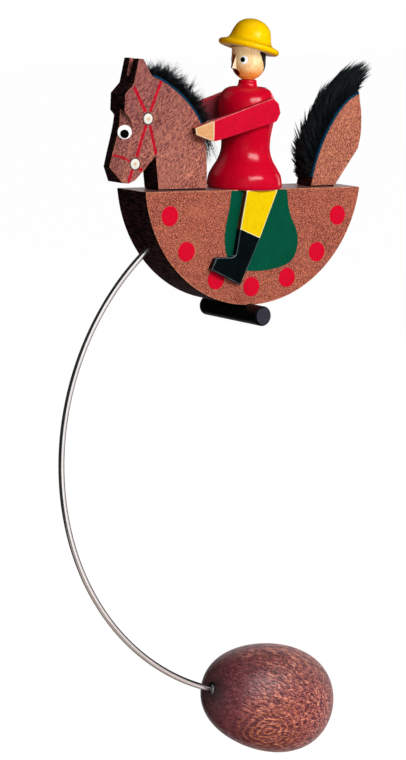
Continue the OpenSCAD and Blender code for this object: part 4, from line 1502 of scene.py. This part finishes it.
METAL = ("balance_wire_drawn", "rocker_wire_glue", "egg_wire_glue")
RIDER_TOP = ("rider_head_ball", "rider_eye_whites", "rider_eye_pupils", "rider_mouth_and_shadow_paint", "rider_nose_wedge", "rider_hat_turned",
             "left_eye_disc", "right_eye_disc")
FACE = RIDER_TOP[:6]


area("key_softbox", 4, 28, 1.5, 1.10, 0.42, 16.0, never=METAL)
area("front_fill", -34, 8, 1.8, 1.0, 1.2, 6.0, glossy=False, never=FACE)
area("rider_fill", -18, -12, 1.8, 0.8, 0.8, 16.0, glossy=False, only=RIDER_TOP)
area("warm_left", -98, -18, 1.2, 0.8, 0.8, 3.2, target=(0, 0, 0.12), glossy=False, color=(1.0, 0.36, 0.14), only=("rider_hat_turned", "rider_head_ball"))
area("low_left", -95, -78, 1.4, 0.8, 0.8, 6.0, target=(0, 0, 0.03), glossy=False, only=("rocker_body", "horse_head_board"))
area("gloss_left", -112, -8, 2.0, 2.0, 2.0, 5.0, diffuse=False, only=("counterweight_egg_turned",))
area("gloss_side", -141, 36, 2.0, 1.6, 1.2, 1.6, diffuse=False, only=("rider_body_turned",))
area("right_fill", 50, 12, 1.8, 0.8, 1.2, 7, glossy=False)
area("low_card", 26, -36, 1.5, 1.2, 0.6, 3, target=(0, 0, -0.05), glossy=False)
area("egg_card", -12, -40, 0.55, 0.35, 0.35, 1.8, target=(0.03, 0, -0.205), glossy=False, only=("counterweight_egg_turned", "egg_wire_mouth"))
area("top_fill", 30, 80, 1.6, 0.8, 0.8, 3, glossy=False)
area("gloss_wall", -3, 4, 2.0, 2.3, 3.2, 27.0, target=(0, 0, -0.03), diffuse=False, only=METAL)
area("gloss_right", 50, -24, 2.0, 1.7, 2.4, 10, target=(0, 0, -0.03), diffuse=False, color=(1.0, 0.88, 0.86), only=METAL)
area("gloss_floor", -40, -70, 1.1, 2.2, 1.5, 4.5, target=(0, 0, -0.06), diffuse=False, color=(1.0, 0.80, 0.74), only=METAL)
area("gloss_back", 118, -4, 2.0, 5.0, 4.0, 45, target=(0, 0, -0.03), diffuse=False, never=METAL + ("rider_body_turned", "rider_hat_turned"))
area("gloss_rim", 116, -4, 1.2, 1.0, 0.9, 8.0, diffuse=False, only=("rider_body_turned",))
area("back_fill", 146, 10, 2.0, 1.0, 1.2, 26, glossy=False, never=("studio_floor", "mane_hair_strands", "tail_hair_strands"))

world = bpy.data.worlds.new("studio")
bpy.context.scene.world = world
world.use_nodes = True
wt = world.node_tree
wt.nodes.clear()
wo = wt.nodes.new("ShaderNodeOutputWorld")
lp = wt.nodes.new("ShaderNodeLightPath")
dim = wt.nodes.new("ShaderNodeBackground")
dim.inputs["Color"].default_value = (1.0, 1.0, 1.0, 1)
dim.inputs["Strength"].default_value = 0.025
white = wt.nodes.new("ShaderNodeBackground")
white.inputs["Color"].default_value = (1, 1, 1, 1)
white.inputs["Strength"].default_value = 1.0
mixw = wt.nodes.new("ShaderNodeMixShader")
wt.links.new(lp.outputs["Is Camera Ray"], mixw.inputs[0])
wt.links.new(dim.outputs[0], mixw.inputs[1])
wt.links.new(white.outputs[0], mixw.inputs[2])
wt.links.new(mixw.outputs[0], wo.inputs["Surface"])
bpy.context.scene.view_settings.view_transform = "Standard"
bpy.context.scene.view_settings.look = "None"
